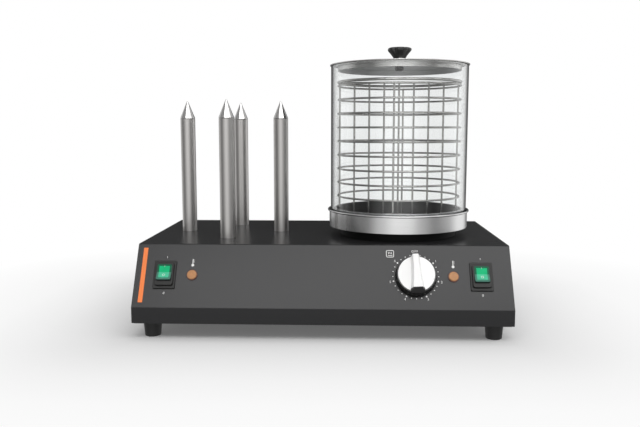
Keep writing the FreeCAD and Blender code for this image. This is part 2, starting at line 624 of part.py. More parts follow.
# Basket: welded wire rings on four uprights, with a thick top ring, and three wires under the lowest
# ring as a floor. The rings are kept as four panels that meet at the corners of the sausages' room.
BOTTOM_RING = "(wire + ring_band / 2)"
PANELS = [("right", -54, 54), ("rear", 54, 126), ("left", 126, 234), ("front", 234, 306)]
cage_wires = [wire_ring(f"ring_{index + 1}", RING_RADIUS, "ring_band", f"first_ring + {index} * ring_pitch")
              for index in range(FREE_RINGS)]
cage_wires.append(wire_ring("bottom_ring", RING_RADIUS, "ring_band", BOTTOM_RING))
cage_wires.append(wire_ring("top_ring", RING_RADIUS, "rim_band", "rim_height"))
for name, across, along in AROUND:
    cage_wires.append(wire_upright(f"upright_{name}", f"{across} ({RING_RADIUS} - upright_step)",
                                   f"{along} ({RING_RADIUS} - upright_step)", BOTTOM_RING, "rim_height"))
fence = weld("cage_fence", cage_wires)
cage_parts = []
for name, start, end in PANELS:
    sector = primitive("Cylinder", f"sector_{name}", Radius=f"2 * {RING_RADIUS}",
                       Height="rim_height + rim_band")
    sector.Angle = end - start
    sector.Placement = Placement(Vector(), Rotation(Vector(0, 0, 1), start))
    cage_parts.append(overlap(f"cage_{name}", fence, sector))
for index in (-2, 0, 2):
    span = f"2 * sqrt({RING_RADIUS} * {RING_RADIUS} - {index * index} * divider_pitch * divider_pitch)"
    cage_parts.append(wire_bar(f"floor_bar_{index + 3}", "y", f"{index} * divider_pitch", "0", "wire / 2",
                               span))
cage = place(group("basket_cage", cage_parts), "steamer_x", STEAMER_Y, BASKET_Z)
divider_wires = [wire_upright(f"divider_wire_{index + 4}", f"{index} * divider_pitch", "0", BOTTOM_RING,
                              "rim_height") for index in range(-3, 4)]
for name, height in (("divider_foot", BOTTOM_RING), ("divider_head", "rim_height")):
    divider_wires.append(wire_bar(name, "x", "0", "0", height, f"2 * ({RING_RADIUS} - ring_band)"))
divider = place(weld("basket_divider", divider_wires), "steamer_x", STEAMER_Y, BASKET_Z)
nodes.extend([cage, divider])

# Lid: a flat stainless plate on the glass with a skirt inside it, and a fluted knob on a collar
SCREW_HOLE = "(lid_screw_radius + hole_clearance)"
lid_cap = turned("lid_cap", LARGE_SIDES,
                 [(SKIRT_RADIUS, "-skirt_depth", "0"), ("glass_radius + lid_overhang", "0", "lid_thickness")],
                 [(f"{SKIRT_RADIUS} - lid_sheet", "-skirt_depth", "0"), (SCREW_HOLE, "0", "lid_thickness")])
place(lid_cap, "steamer_x", STEAMER_Y, LID_Z)
ferrule = turned("lid_ferrule", SMALL_SIDES, [("ferrule_radius", "0", "ferrule_height")],
                 [(SCREW_HOLE, "0", "ferrule_height")])
place(ferrule, "steamer_x", STEAMER_Y, f"{LID_Z} + lid_thickness")
lid_knob = new_body("lid_knob")
add_prism(lid_knob, "knob_flare", SMALL_SIDES, "ferrule_radius", "0", "lid_knob_shoulder")
taper(lid_knob, "knob_taper", "ferrule_radius", "lid_knob_radius", SMALL_SIDES, "lid_knob_shoulder")
add_prism(lid_knob, "knob_crown", SMALL_SIDES, "lid_knob_radius", "lid_knob_shoulder", "lid_knob_height")
add_prism(lid_knob, "knob_bore", SMALL_SIDES, SCREW_HOLE, "0", "lid_knob_height / 2", cut=True)
flute = new_sketch(lid_knob, "XY_Plane", "flute")
add_circle(flute, "lid_knob_radius + flute_radius - flute_depth", "0", "flute_radius")
flute_cut = extrude(lid_knob, flute, "flute_cut", "3 * lid_knob_height", cut=True, both_ways=True)
flutes = lid_knob.newObject("PartDesign::PolarPattern", "flutes")
flutes.Originals = [flute_cut]
flutes.Axis = (own(lid_knob, "Z_Axis"), [""])
flutes.Angle = 360
flutes.Occurrences = FLUTES
lid_knob.Tip = flutes
place(lid_knob, "steamer_x", STEAMER_Y, f"{LID_Z} + lid_thickness + ferrule_height")
lid_screw = turned("lid_screw", SMALL_SIDES, [
    ("lid_boss_radius", "-lid_boss_height", "0"),
    ("lid_screw_radius", "0", "lid_thickness + ferrule_height + lid_knob_height / 2")])
place(lid_screw, "steamer_x", STEAMER_Y, LID_Z)
nodes.extend([lid_cap, ferrule, lid_knob, lid_screw])

# Stripe: a coloured film on the panel's left edge
stripe = new_body("panel_stripe")
stripe_outline = new_sketch(stripe, "XY_Plane", "stripe_outline")
add_rectangle(stripe_outline, "stripe_width", "stripe_length", y="stripe_length / 2")
extrude(stripe, stripe_outline, "stripe_film", "stripe_thickness")
place_on_panel(stripe, "stripe_x", "stripe_from")
nodes.append(stripe)

# Rocker switches: a black case snapped into the panel, a rocker on a pivot pin and its green cap
COLLAR_TOP = "(bezel_thickness + collar_height)"
for side_name, side in (("left", "-"), ("right", "")):
    switch = new_body(f"switch_case_{side_name}")
    bezel = new_sketch(switch, "XY_Plane", f"bezel_{side_name}")
    add_rectangle(bezel, f"({COLLAR_WIDTH} + 2 * bezel_side)", f"({COLLAR_LENGTH} + 2 * bezel_end)")
    extrude(switch, bezel, f"bezel_pad_{side_name}", "bezel_thickness")
    collar = new_sketch(switch, "XY_Plane", f"collar_{side_name}", z="bezel_thickness")
    add_rounded_rectangle(collar, COLLAR_WIDTH, COLLAR_LENGTH, "collar_corner")
    extrude(switch, collar, f"collar_pad_{side_name}", "collar_height")
    case = new_sketch(switch, "XY_Plane", f"case_{side_name}")
    add_rectangle(case, BODY_WIDTH, BODY_LENGTH)
    extrude(switch, case, f"case_pad_{side_name}", "switch_body_depth", reverse=True)
    cavity = new_sketch(switch, "XY_Plane", f"cavity_{side_name}", z=COLLAR_TOP)
    add_rectangle(cavity, CAVITY_WIDTH, CAVITY_LENGTH)
    extrude(switch, cavity, f"cavity_cut_{side_name}", f"{COLLAR_TOP} + switch_body_depth - cavity_floor",
            cut=True)
    pivot = new_sketch(switch, "YZ_Plane", f"pivot_hole_{side_name}")
    add_circle(pivot, "0", "-rocker_pivot_depth", "rocker_pin_radius + pivot_clearance")
    extrude(switch, pivot, f"pivot_hole_cut_{side_name}", f"2 * {BODY_WIDTH}", cut=True, both_ways=True)
    place_on_panel(switch, side + "switch_x", "switch_up")

    rocker = new_body(f"rocker_{side_name}")
    rocker_profile = new_sketch(rocker, "YZ_Plane", f"rocker_profile_{side_name}")
    add_outline(rocker_profile, [
        ("0", "rocker_valley - lens_thickness"),
        ("-rocker_edge", "rocker_crown - lens_thickness"),
        ("-rocker_edge - rocker_bulge", "(rocker_crown + rocker_bulge) / 2"),
        ("-rocker_edge", "rocker_heel"), ("-rocker_pin_radius - pin_web", "-rocker_pin_radius - pin_web"),
        ("rocker_pin_radius + pin_web", "-rocker_pin_radius - pin_web"), ("rocker_edge", "rocker_heel"),
        ("rocker_edge + rocker_bulge", "(rocker_crown + rocker_bulge) / 2"),
        ("rocker_edge", "rocker_crown - lens_thickness")])
    extrude(rocker, rocker_profile, f"rocker_pad_{side_name}", "rocker_width", both_ways=True)
    pin = new_sketch(rocker, "YZ_Plane", f"rocker_pin_{side_name}")
    add_circle(pin, "0", "0", "rocker_pin_radius")
    extrude(rocker, pin, f"rocker_pin_pad_{side_name}", f"{BODY_WIDTH} - 2 * pin_end_play",
            both_ways=True)
    place_on_panel(rocker, side + "switch_x", "switch_up", "-rocker_pivot_depth", f"{RISE} - rocker_tilt")

    lens = new_body(f"rocker_lens_{side_name}")
    lens_profile = new_sketch(lens, "YZ_Plane", f"lens_profile_{side_name}")
    add_outline(lens_profile, [
        ("0", "rocker_valley"), ("-rocker_edge", "rocker_crown"),
        ("-rocker_edge", "rocker_crown - lens_thickness"), ("0", "rocker_valley - lens_thickness"),
        ("rocker_edge", "rocker_crown - lens_thickness"), ("rocker_edge", "rocker_crown")])
    extrude(lens, lens_profile, f"lens_pad_{side_name}", "rocker_width", both_ways=True)
    place_on_panel(lens, side + "switch_x", "switch_up", "-rocker_pivot_depth", f"{RISE} - rocker_tilt")
    nodes.extend([switch, rocker, lens])

# Pilot lamps: a dark collar and barrel pushed through the panel, with an amber lens
for side_name, side in (("left", "-"), ("right", "")):
    lamp = turned(f"lamp_body_{side_name}", SMALL_SIDES, [
        ("lamp_barrel_radius", "-lamp_barrel_depth", "0"), ("lamp_flange_radius", "0", "lamp_flange_height")])
    lamp_lens = prism(f"lamp_lens_{side_name}", SMALL_SIDES, "lamp_lens_radius", "0",
                      "lamp_lens_height - lamp_flange_height")
    place_on_panel(lamp, side + "lamp_x", "lamp_up")
    place_on_panel(lamp_lens, side + "lamp_x", "lamp_up", "lamp_flange_height")
    nodes.extend([lamp, lamp_lens])


def grip_outline(drawing, inset):
    """The grip bar seen from above, less an inset: a narrow pointer end, hollow sides, a wide tail."""
    nose_half, tail_half = f"(grip_nose_half - {inset})", f"(grip_tail_half - {inset})"
    add_outline(drawing, [("-" + tail_half, "-grip_tail", "-grip_hollow"), (tail_half, "-grip_tail"),
                          (nose_half, f"(grip_nose - {inset})", "-grip_hollow"),
                          ("-" + nose_half, f"(grip_nose - {inset})")])


# Dial: a black skirt and grip core under a white pressed face, on the regulator's shaft. The core's
# tail slopes down to the skirt's edge, beyond the end of the white cover.
SKIRT_HEIGHT = "(dial_height - face_thickness - dial_gap)"
GRIP_TOP = f"({SKIRT_HEIGHT} + grip_height)"
dial = new_body("dial_knob")
add_prism(dial, "dial_skirt", LARGE_SIDES, "dial_skirt_radius", "0", SKIRT_HEIGHT)
taper(dial, "dial_skirt_taper", "dial_skirt_radius", "dial_top_radius", LARGE_SIDES, SKIRT_HEIGHT)
add_prism(dial, "dial_bore", PIN_SIDES, "shaft_radius + bore_clearance", "0",
          f"{SKIRT_HEIGHT} - 2 * face_thickness", cut=True)
core = new_sketch(dial, "XY_Plane", "grip_core", z=SKIRT_HEIGHT)
grip_outline(core, "(face_thickness + cover_gap)")
extrude(dial, core, "grip_core_pad", "grip_height")
slope = new_sketch(dial, "YZ_Plane", "tail_slope")
add_outline(slope, [("-cover_tail - tail_step", GRIP_TOP), ("-grip_tail - tail_step", GRIP_TOP),
                    ("-grip_tail - tail_step", f"{SKIRT_HEIGHT} + face_thickness")])
extrude(dial, slope, "tail_slope_cut", "3 * grip_tail_half", cut=True, both_ways=True)
face = new_body("dial_face")
add_prism(face, "face_disc", LARGE_SIDES, "face_radius", SKIRT_HEIGHT, f"{SKIRT_HEIGHT} + face_thickness")
cover = new_sketch(face, "XY_Plane", "grip_cover", z=SKIRT_HEIGHT)
grip_outline(cover, "0")
extrude(face, cover, "grip_cover_pad", "grip_height + face_thickness")
end_cut = new_sketch(face, "YZ_Plane", "cover_end")
add_outline(end_cut, [("-cover_tail", f"{SKIRT_HEIGHT} + face_thickness"),
                      ("-cover_tail", f"{GRIP_TOP} + 2 * face_thickness"),
                      ("-2 * cover_tail", f"{GRIP_TOP} + 2 * face_thickness"),
                      ("-2 * cover_tail", f"{SKIRT_HEIGHT} + face_thickness")])
extrude(face, end_cut, "cover_end_cut", "3 * grip_tail_half", cut=True, both_ways=True)
rim = new_sketch(face, "XY_Plane", "face_rim", z=SKIRT_HEIGHT)
add_circle(rim, "0", "0", "face_radius")
add_circle(rim, "0", "0", "2 * face_radius")
extrude(face, rim, "face_rim_cut", "face_thickness", cut=True, reverse=True)
hollow = new_sketch(face, "XY_Plane", "grip_hollow_sketch", z=SKIRT_HEIGHT)
grip_outline(hollow, "face_thickness")
extrude(face, hollow, "grip_hollow_cut", "grip_height", cut=True, reverse=True)
shaft = primitive("Cylinder", "dial_shaft", Radius="shaft_radius",
                  Height="regulator_depth / 2 + dial_height - 3 * face_thickness")
for piece in (dial, face):
    place_on_panel(piece, "dial_x", "dial_up", "dial_gap")
place_on_panel(shaft, "dial_x", "dial_up", "-regulator_depth / 2")
nodes.extend([dial, face, shaft])

# Regulator: a case behind the panel with a threaded bush through it
regulator = new_body("heat_regulator")
regulator_case = new_sketch(regulator, "XY_Plane", "regulator_case", z="-sheet")
add_rectangle(regulator_case, "regulator_width", "regulator_length")
extrude(regulator, regulator_case, "regulator_case_pad", "regulator_depth", reverse=True)
bush = new_sketch(regulator, "XY_Plane", "regulator_bush", z="-sheet")
add_circle(bush, "0", "0", "shaft_bush_radius")
extrude(regulator, bush, "regulator_bush_pad", "sheet + dial_gap / 2")
shaft_hole = new_sketch(regulator, "XY_Plane", "shaft_hole", z="dial_gap / 2")
add_circle(shaft_hole, "0", "0", "shaft_radius + pivot_clearance")
extrude(regulator, shaft_hole, "shaft_hole_cut", "regulator_depth / 2 + dial_gap", cut=True)
place_on_panel(regulator, "dial_x", "dial_up")
nodes.append(regulator)

# Cable gland through the back wall, its lock nut inside, and the terminal block on the base plate
gland_cap = prism("gland_cap", 6, "gland_radius", "0", "gland_reach")
gland_thread = prism("gland_thread", SMALL_SIDES, "gland_thread_radius", "-gland_thread_length", "0")
gland_solid = weld("gland_solid", [gland_cap, gland_thread])
gland_bore = primitive("Cylinder", "gland_bore", Radius="gland_bore_radius",
                       Height="gland_reach + gland_thread_length")
place(gland_bore, z="-gland_thread_length")
gland = cut("cable_gland", gland_solid, gland_bore)
place(gland, "gland_x", f"{FRONT} + housing_depth", "gland_z", "-90")
lock_blank = prism("lock_nut_blank", 6, "gland_radius", "0", "gland_nut_height")
lock_hole = prism("lock_nut_hole", SMALL_SIDES, "gland_thread_radius + bore_clearance", "0",
                  "gland_nut_height")
lock_nut = cut("gland_lock_nut", lock_blank, lock_hole)
place(lock_nut, "gland_x", f"{FRONT} + housing_depth - sheet - gland_nut_height", "gland_z", "-90")
block = primitive("Box", "terminal_block", Length="block_width", Width="block_depth", Height="block_height")
place(block, "gland_x - block_width / 2", f"{FRONT} + housing_depth - block_from_back", "casing_underside")
nodes.extend([gland, lock_nut, block])

document.recompute()
failed = [item.Label for item in document.Objects if {"Invalid", "Error"} & set(item.State)]
for node in nodes:
    if node.Shape.isNull() or not node.Shape.isValid() or not node.Shape.Solids:
        failed.append(node.Label)
if failed:
    raise SystemExit("not built: " + ", ".join(failed))
os.makedirs("parts", exist_ok=True)
for node in nodes:
    node.Shape.exportStep(f"parts/{node.Label}.step")
print(len(nodes), "nodes,", sum(len(node.Shape.Solids) for node in nodes), "solids")
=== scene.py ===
from math import atan2, cos, pi, radians, sin, sqrt, tau

import bmesh
import bpy
from mathutils import Euler, Matrix, Vector


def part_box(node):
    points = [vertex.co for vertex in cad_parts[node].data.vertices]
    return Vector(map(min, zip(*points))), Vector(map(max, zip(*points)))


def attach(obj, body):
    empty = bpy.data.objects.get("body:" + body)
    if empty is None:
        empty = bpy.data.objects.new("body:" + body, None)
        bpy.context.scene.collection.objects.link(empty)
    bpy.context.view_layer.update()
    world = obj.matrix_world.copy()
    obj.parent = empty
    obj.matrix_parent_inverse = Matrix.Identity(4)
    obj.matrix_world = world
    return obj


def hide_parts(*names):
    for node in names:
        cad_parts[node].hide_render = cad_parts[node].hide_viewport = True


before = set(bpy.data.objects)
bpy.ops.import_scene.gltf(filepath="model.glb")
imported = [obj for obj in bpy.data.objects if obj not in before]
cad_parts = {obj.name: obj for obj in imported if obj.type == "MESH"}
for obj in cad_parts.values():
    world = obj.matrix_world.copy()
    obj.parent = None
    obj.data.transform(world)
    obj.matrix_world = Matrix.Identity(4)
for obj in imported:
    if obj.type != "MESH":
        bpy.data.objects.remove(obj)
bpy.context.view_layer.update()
scene = bpy.context.scene

# Camera: a 40 mm lens, 28 cm above the table and 90 cm in front of the casing, a little right of its
# middle. It is tipped down by seven degrees and turned two degrees to the left.
front_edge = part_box("housing")[0].y
camera_data = bpy.data.cameras.new("camera")
camera_data.sensor_width = 36
camera_data.lens = 39.9925
camera_data.clip_start = 0.05
camera_data.clip_end = 30
camera = bpy.data.objects.new("camera", camera_data)
camera.location = (0.030153, front_edge - 0.901848, 0.277832)
camera.rotation_euler = Euler((pi / 2 - 0.1191658, 0, 0.0353337))
scene.collection.objects.link(camera)
scene.camera = camera
scene.view_settings.view_transform = "Standard"


# Studio: a pale sweep of card under and behind the object, which runs up into a white backdrop.
# The studio is drawn in metres. The object's pieces are drawn in millimetres and scaled to metres
# when they are finished.
def linear(colour):
    """A hex colour from the screen as linear light."""
    parts = [int(colour[i:i + 2], 16) / 255 for i in (1, 3, 5)]
    return [c / 12.92 if c <= 0.04045 else ((c + 0.055) / 1.055) ** 2.4 for c in parts] + [1.0]


def add_node(tree, kind, settings=None, **inputs):
    """Add a node with its settings and with its inputs, each a value or another node's output."""
    node = tree.nodes.new(kind)
    for name, value in (settings or {}).items():
        setattr(node, name, value)
    for name, value in inputs.items():
        key = int(name[1:]) if name[0] == "_" and name[1:].isdigit() else name.replace("_", " ")
        if isinstance(value, bpy.types.NodeSocket):
            tree.links.new(value, node.inputs[key])
        else:
            node.inputs[key].default_value = value
    return node


def new_tree(name):
    """An empty material and its tree."""
    material = bpy.data.materials.new(name)
    material.use_nodes = True
    material.node_tree.nodes.clear()
    return material, material.node_tree


def ramp(tree, factor, *stops, smooth=False):
    """A ramp through (position, colour) stops."""
    node = add_node(tree, "ShaderNodeValToRGB", Fac=factor)
    node.color_ramp.interpolation = "EASE" if smooth else "LINEAR"
    while len(node.color_ramp.elements) < len(stops):
        node.color_ramp.elements.new(0.5)
    for element, (position, colour) in zip(node.color_ramp.elements, stops):
        element.position = position
        element.color = colour if len(colour) == 4 else (*colour, 1.0)
    return node.outputs["Color"]


def grey(value):
    """A grey as a colour with its alpha."""
    return (value, value, value, 1.0)


# White card: matt paper that keeps the object's shadow. The further it lies from the casing's
# footprint, the more of it the camera sees as plain white, so near the footprint it is darker: painted
# shade round the object, over its real shadow.
FOOTPRINT = (0.25, 0.157, 0.0)
# The share of plain white by distance from the footprint in metres; its low shares near the casing are
# painted shade.
SHARE_OF_WHITE = ((0.0, 0.11), (0.01, 0.21), (0.05, 0.38), (0.14, 0.66), (0.22, 0.83), (0.45, 1.0))
card, tree = new_tree("white_card")
away = add_node(tree, "ShaderNodeTexCoord").outputs["Object"]
away = add_node(tree, "ShaderNodeVectorMath", {"operation": "ABSOLUTE"}, _0=away).outputs[0]
away = add_node(tree, "ShaderNodeVectorMath", {"operation": "SUBTRACT"}, _0=away,
                _1=FOOTPRINT).outputs[0]
away = add_node(tree, "ShaderNodeVectorMath", {"operation": "MAXIMUM"}, _0=away,
                _1=(0.0, 0.0, 0.0)).outputs[0]
distance = add_node(tree, "ShaderNodeVectorMath", {"operation": "LENGTH"}, _0=away).outputs["Value"]
fade = ramp(tree, distance, *[(metres, grey(share)) for metres, share in SHARE_OF_WHITE])
seen = add_node(tree, "ShaderNodeLightPath").outputs["Is Camera Ray"]
share = add_node(tree, "ShaderNodeMath", {"operation": "MULTIPLY"}, _0=fade, _1=seen).outputs[0]
paper = add_node(tree, "ShaderNodeBsdfDiffuse", Color=grey(0.80)).outputs["BSDF"]
white = add_node(tree, "ShaderNodeEmission", Color=grey(1.0), Strength=1.0).outputs["Emission"]
mixed = add_node(tree, "ShaderNodeMixShader", Fac=share, _1=paper, _2=white).outputs[0]
add_node(tree, "ShaderNodeOutputMaterial", Surface=mixed)

FLOOR_FRONT, FLOOR_BACK, BEND, WALL_TOP, CARD_WIDTH = -4.0, 1.6, 1.2, 4.0, 10.0
sweep = bmesh.new()
line = [(FLOOR_FRONT, 0.0), (FLOOR_BACK, 0.0)]
for step in range(1, 17):
    turn = step * pi / 32
    line.append((FLOOR_BACK + BEND * sin(turn), BEND - BEND * cos(turn)))
line.append((FLOOR_BACK + BEND, WALL_TOP))
points = [sweep.verts.new((-CARD_WIDTH / 2, y, z)) for y, z in line]
edges = [sweep.edges.new(pair) for pair in zip(points, points[1:])]
drawn = bmesh.ops.extrude_edge_only(sweep, edges=edges)
moved = [part for part in drawn["geom"] if isinstance(part, bmesh.types.BMVert)]
bmesh.ops.translate(sweep, vec=(CARD_WIDTH, 0, 0), verts=moved)
bmesh.ops.recalc_face_normals(sweep, faces=sweep.faces)
sweep_mesh = bpy.data.meshes.new("card_sweep")
sweep.to_mesh(sweep_mesh)
sweep.free()
sweep_mesh.materials.append(card)
sweep_mesh.shade_smooth()
card_sweep = bpy.data.objects.new("card_sweep", sweep_mesh)
scene.collection.objects.link(card_sweep)
card_sweep.visible_glossy = False
card_sweep.visible_transmission = False

# Studio walls: an even light on everything matt, and a ring of bright and dim panels for the
# polished metal to mirror. Through the glass they are white straight behind the object and softly
# darker to the sides. The camera itself sees white.
EVEN_LIGHT, CEILING, TABLE_LIGHT, SIDE_SCREEN = grey(0.41), grey(0.45), grey(0.50), grey(0.80)
# Each panel by its direction in degrees, from 0 at the front to 180 at the back, and its brightness
PANELS = [(-180, 0.05), (-160, 0.08), (-148, 0.55), (-128, 1.05), (-104, 0.80), (-84, 0.22),
          (-56, 0.20), (-30, 0.80), (-8, 1.30), (14, 1.20), (36, 0.60), (58, 0.28), (84, 0.55),
          (112, 1.20), (132, 1.10), (152, 0.14), (180, 0.05)]
# The screen behind the glass by its place from left (0) to right (1), and its brightness
SCREEN = [(0.0, 0.40), (0.15, 0.66), (0.36, 0.86), (0.44, 1.0), (0.64, 1.0), (0.72, 0.86),
          (0.85, 0.66), (1.0, 0.40)]
world = bpy.data.worlds.new("studio")
scene.world = world
world.use_nodes = True
world.cycles.sampling_method = "NONE"
tree = world.node_tree
tree.nodes.clear()
way = add_node(tree, "ShaderNodeTexCoord").outputs["Generated"]
parts = add_node(tree, "ShaderNodeSeparateXYZ", Vector=way).outputs
ahead = add_node(tree, "ShaderNodeMath", {"operation": "MULTIPLY"}, _0=parts["Y"], _1=-1.0).outputs[0]
turn = add_node(tree, "ShaderNodeMath", {"operation": "ARCTAN2"}, _0=parts["X"], _1=ahead).outputs[0]
around = add_node(tree, "ShaderNodeMapRange", Value=turn, From_Min=-pi, From_Max=pi).outputs["Result"]
across = add_node(tree, "ShaderNodeMapRange", Value=parts["X"], From_Min=-1.0,
                  From_Max=1.0).outputs["Result"]
height = add_node(tree, "ShaderNodeMapRange", Value=parts["Z"], From_Min=-1.0,
                  From_Max=1.0).outputs["Result"]
panels = ramp(tree, around, *[((side + 180) / 360, grey(level)) for side, level in PANELS], smooth=True)
above = ramp(tree, parts["Z"], (0.25, grey(0.0)), (0.8, grey(1.0)), smooth=True)
below = ramp(tree, height, (0.36, grey(1.0)), (0.42, grey(0.0)), smooth=True)
mirrored = add_node(tree, "ShaderNodeMix", {"data_type": "RGBA"}, _0=above, _6=panels,
                    _7=CEILING).outputs[2]
mirrored = add_node(tree, "ShaderNodeMix", {"data_type": "RGBA"}, _0=below, _6=mirrored,
                    _7=TABLE_LIGHT).outputs[2]
screen = ramp(tree, across, *[(place, grey(level)) for place, level in SCREEN])
behind = ramp(tree, parts["Y"], (0.3, grey(0.0)), (0.7, grey(1.0)), smooth=True)
walls = add_node(tree, "ShaderNodeMix", {"data_type": "RGBA"}, _0=behind, _6=SIDE_SCREEN,
                 _7=screen).outputs[2]
rays = add_node(tree, "ShaderNodeLightPath").outputs
for ray, level in (("Glossy Depth", mirrored), ("Diffuse Depth", EVEN_LIGHT),
                   ("Is Camera Ray", grey(1.0))):
    walls = add_node(tree, "ShaderNodeMix", {"data_type": "RGBA"}, _0=rays[ray], _6=walls,
                     _7=level).outputs[2]
sky = add_node(tree, "ShaderNodeBackground", Color=walls, Strength=1.0).outputs[0]
add_node(tree, "ShaderNodeOutputWorld", Surface=sky)

# Lamps: a wide soft box over the front, and a weak fill from each side
LIT_POINT = Vector((0.0, 0.0, 0.12))
for name, where, size, power in (("key_box", (0.35, -1.45, 1.70), (2.8, 0.8), 28.0),
                                 ("left_box", (-1.9, -0.7, 1.2), (0.8, 1.4), 0.8),
                                 ("right_box", (1.9, -0.5, 1.3), (0.8, 1.4), 6.0)):
    lamp_data = bpy.data.lights.new(name, "AREA")
    lamp_data.shape = "RECTANGLE"
    lamp_data.size, lamp_data.size_y = size
    lamp_data.energy = power
    lamp = bpy.data.objects.new(name, lamp_data)
    lamp.location = where
    lamp.rotation_euler = (LIT_POINT - Vector(where)).to_track_quat("-Z", "Y").to_euler()
    scene.collection.objects.link(lamp)


# Casing: mild steel sheet, folded at the lip, the panel and the deck, welded at the ends and
# powder coated dark grey. The edges of its two end plates are ground round before the coat.
def finish_piece(name, form, material, body, slot, *nodes, place=None, sharp=35):
    """Turn a shape drawn in millimetres into a piece that rides on a body and stands for CAD nodes."""
    if place is not None:
        bmesh.ops.transform(form, matrix=place, verts=form.verts)
    bmesh.ops.scale(form, vec=(0.001, 0.001, 0.001), verts=form.verts)
    mesh = bpy.data.meshes.new(name)
    form.to_mesh(mesh)
    form.free()
    for finish in material if isinstance(material, list) else [material]:
        mesh.materials.append(finish)
    mesh.shade_smooth()
    mesh.set_sharp_from_angle(angle=radians(sharp))
    piece = bpy.data.objects.new(name, mesh)
    scene.collection.objects.link(piece)
    shading = piece.modifiers.new("flat_faces_stay_flat", "WEIGHTED_NORMAL")
    shading.keep_sharp = True
    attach(piece, body)
    if nodes:
        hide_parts(*nodes)


def soften(form, offset, segments=2, angle=30, chosen=None):
    """Round the edges that are sharper than the angle, or those of them that are chosen."""
    edges = [edge for edge in form.edges if edge.is_manifold and edge.calc_face_angle() > radians(angle)
             and (chosen is None or chosen(edge))]
    bmesh.ops.bevel(form, geom=edges, offset=offset, offset_type="OFFSET", segments=segments,
                    profile=0.5, affect="EDGES", clamp_overlap=True, material=-1)


def surface(name, colour, roughness, metallic=0.0, bump=None, colour_shift=None, **sockets):
    """A material with a fine relief (size in mm, strength) and a slow change of tone (size, amount)."""
    material, tree = new_tree(name)
    place = add_node(tree, "ShaderNodeTexCoord").outputs["Object"]
    shader = add_node(tree, "ShaderNodeBsdfPrincipled", Base_Color=linear(colour),
                      Roughness=roughness, Metallic=metallic, **sockets)
    if colour_shift:
        size, amount = colour_shift
        cloud = add_node(tree, "ShaderNodeTexNoise", Vector=place, Scale=1000 / size, Detail=3.0)
        dark = [c * (1 - amount) for c in linear(colour)[:3]]
        light = [min(c * (1 + amount), 1) for c in linear(colour)[:3]]
        tone = ramp(tree, cloud.outputs["Fac"], (0.3, dark), (0.7, light))
        tree.links.new(tone, shader.inputs["Base Color"])
    if bump:
        size, strength = bump
        grain = add_node(tree, "ShaderNodeTexNoise", Vector=place, Scale=1000 / size, Detail=2.0)
        relief = add_node(tree, "ShaderNodeBump", Height=grain.outputs["Fac"], Strength=strength,
                          Distance=0.0002)
        tree.links.new(relief.outputs["Normal"], shader.inputs["Normal"])
    add_node(tree, "ShaderNodeOutputMaterial", Surface=shader.outputs["BSDF"])
    return material


def copy_of(node):
    """A CAD node's mesh in millimetres, with its loose triangles merged."""
    form = bmesh.new()
    form.from_mesh(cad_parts[node].data)
    bmesh.ops.scale(form, vec=(1000, 1000, 1000), verts=form.verts)
    bmesh.ops.remove_doubles(form, verts=form.verts, dist=0.01)
    bmesh.ops.dissolve_limit(form, angle_limit=radians(0.5), verts=form.verts, edges=form.edges)
    return form


# Powder coat: polyester powder baked on, half gloss, with a fine orange peel a millimetre across
powder_coat = surface("powder_coat", "#242425", 0.27, bump=(1.1, 0.04), colour_shift=(60.0, 0.03),
                      Specular_IOR_Level=0.30)
HALF_WIDTH = 250.0
casing = copy_of("housing")
soften(casing, 0.6, segments=3, angle=40,
       chosen=lambda edge: all(abs(abs(corner.co.x) - HALF_WIDTH) < 0.05 for corner in edge.verts))
finish_piece("casing_shell", casing, powder_coat, "casing", "housing_paint", "housing", sharp=28)


# Base plate: thinner steel sheet with punched slots for air, which closes the casing from below.
# It is hardly seen, so it has one thin coat of plain paint.
def paint_node(node, finish):
    """Give a CAD node that stays as it is its finish."""
    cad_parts[node].data.materials.clear()
    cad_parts[node].data.materials.append(finish)


# Black paint: sprayed, dull, a little rough to the eye
black_paint = surface("black_paint", "#202020", 0.55, bump=(1.4, 0.10), colour_shift=(70.0, 0.06))
paint_node("base_plate", black_paint)


# Feet: moulded black rubber, tapered towards the table. Each is held by a plated screw that sits
# sunk in a recess from below.
def lathe(outline, steps=128, closed=False):
    """Spin an outline of (radius, height) points once round Z."""
    form = bmesh.new()
    points = [form.verts.new((radius, 0, height)) for radius, height in outline]
    pairs = list(zip(points, points[1:])) + ([(points[-1], points[0])] if closed else [])
    edges = [form.edges.new(pair) for pair in pairs]
    bmesh.ops.spin(form, geom=points + edges, cent=(0, 0, 0), axis=(0, 0, 1), angle=tau, steps=steps,
                   use_merge=True)
    bmesh.ops.remove_doubles(form, verts=form.verts, dist=0.0005)
    bmesh.ops.recalc_face_normals(form, faces=form.faces)
    return form


def arc(x, z, radius, start, end, steps=6):
    """Points along an arc, by its centre and its angles in degrees."""
    turns = [radians(start + (end - start) * step / steps) for step in range(steps + 1)]
    return [(x + radius * cos(turn), z + radius * sin(turn)) for turn in turns]


def centre_of(node):
    """A CAD node's middle in X and Y and its lowest Z, in millimetres."""
    low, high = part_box(node)
    return Vector(((low.x + high.x) / 2, (low.y + high.y) / 2, low.z)) * 1000


# Foot rubber: dull, with a faint bloom of dust that breaks its black
foot_rubber = surface("foot_rubber", "#181818", 0.60, bump=(0.8, 0.15), colour_shift=(9.0, 0.10))
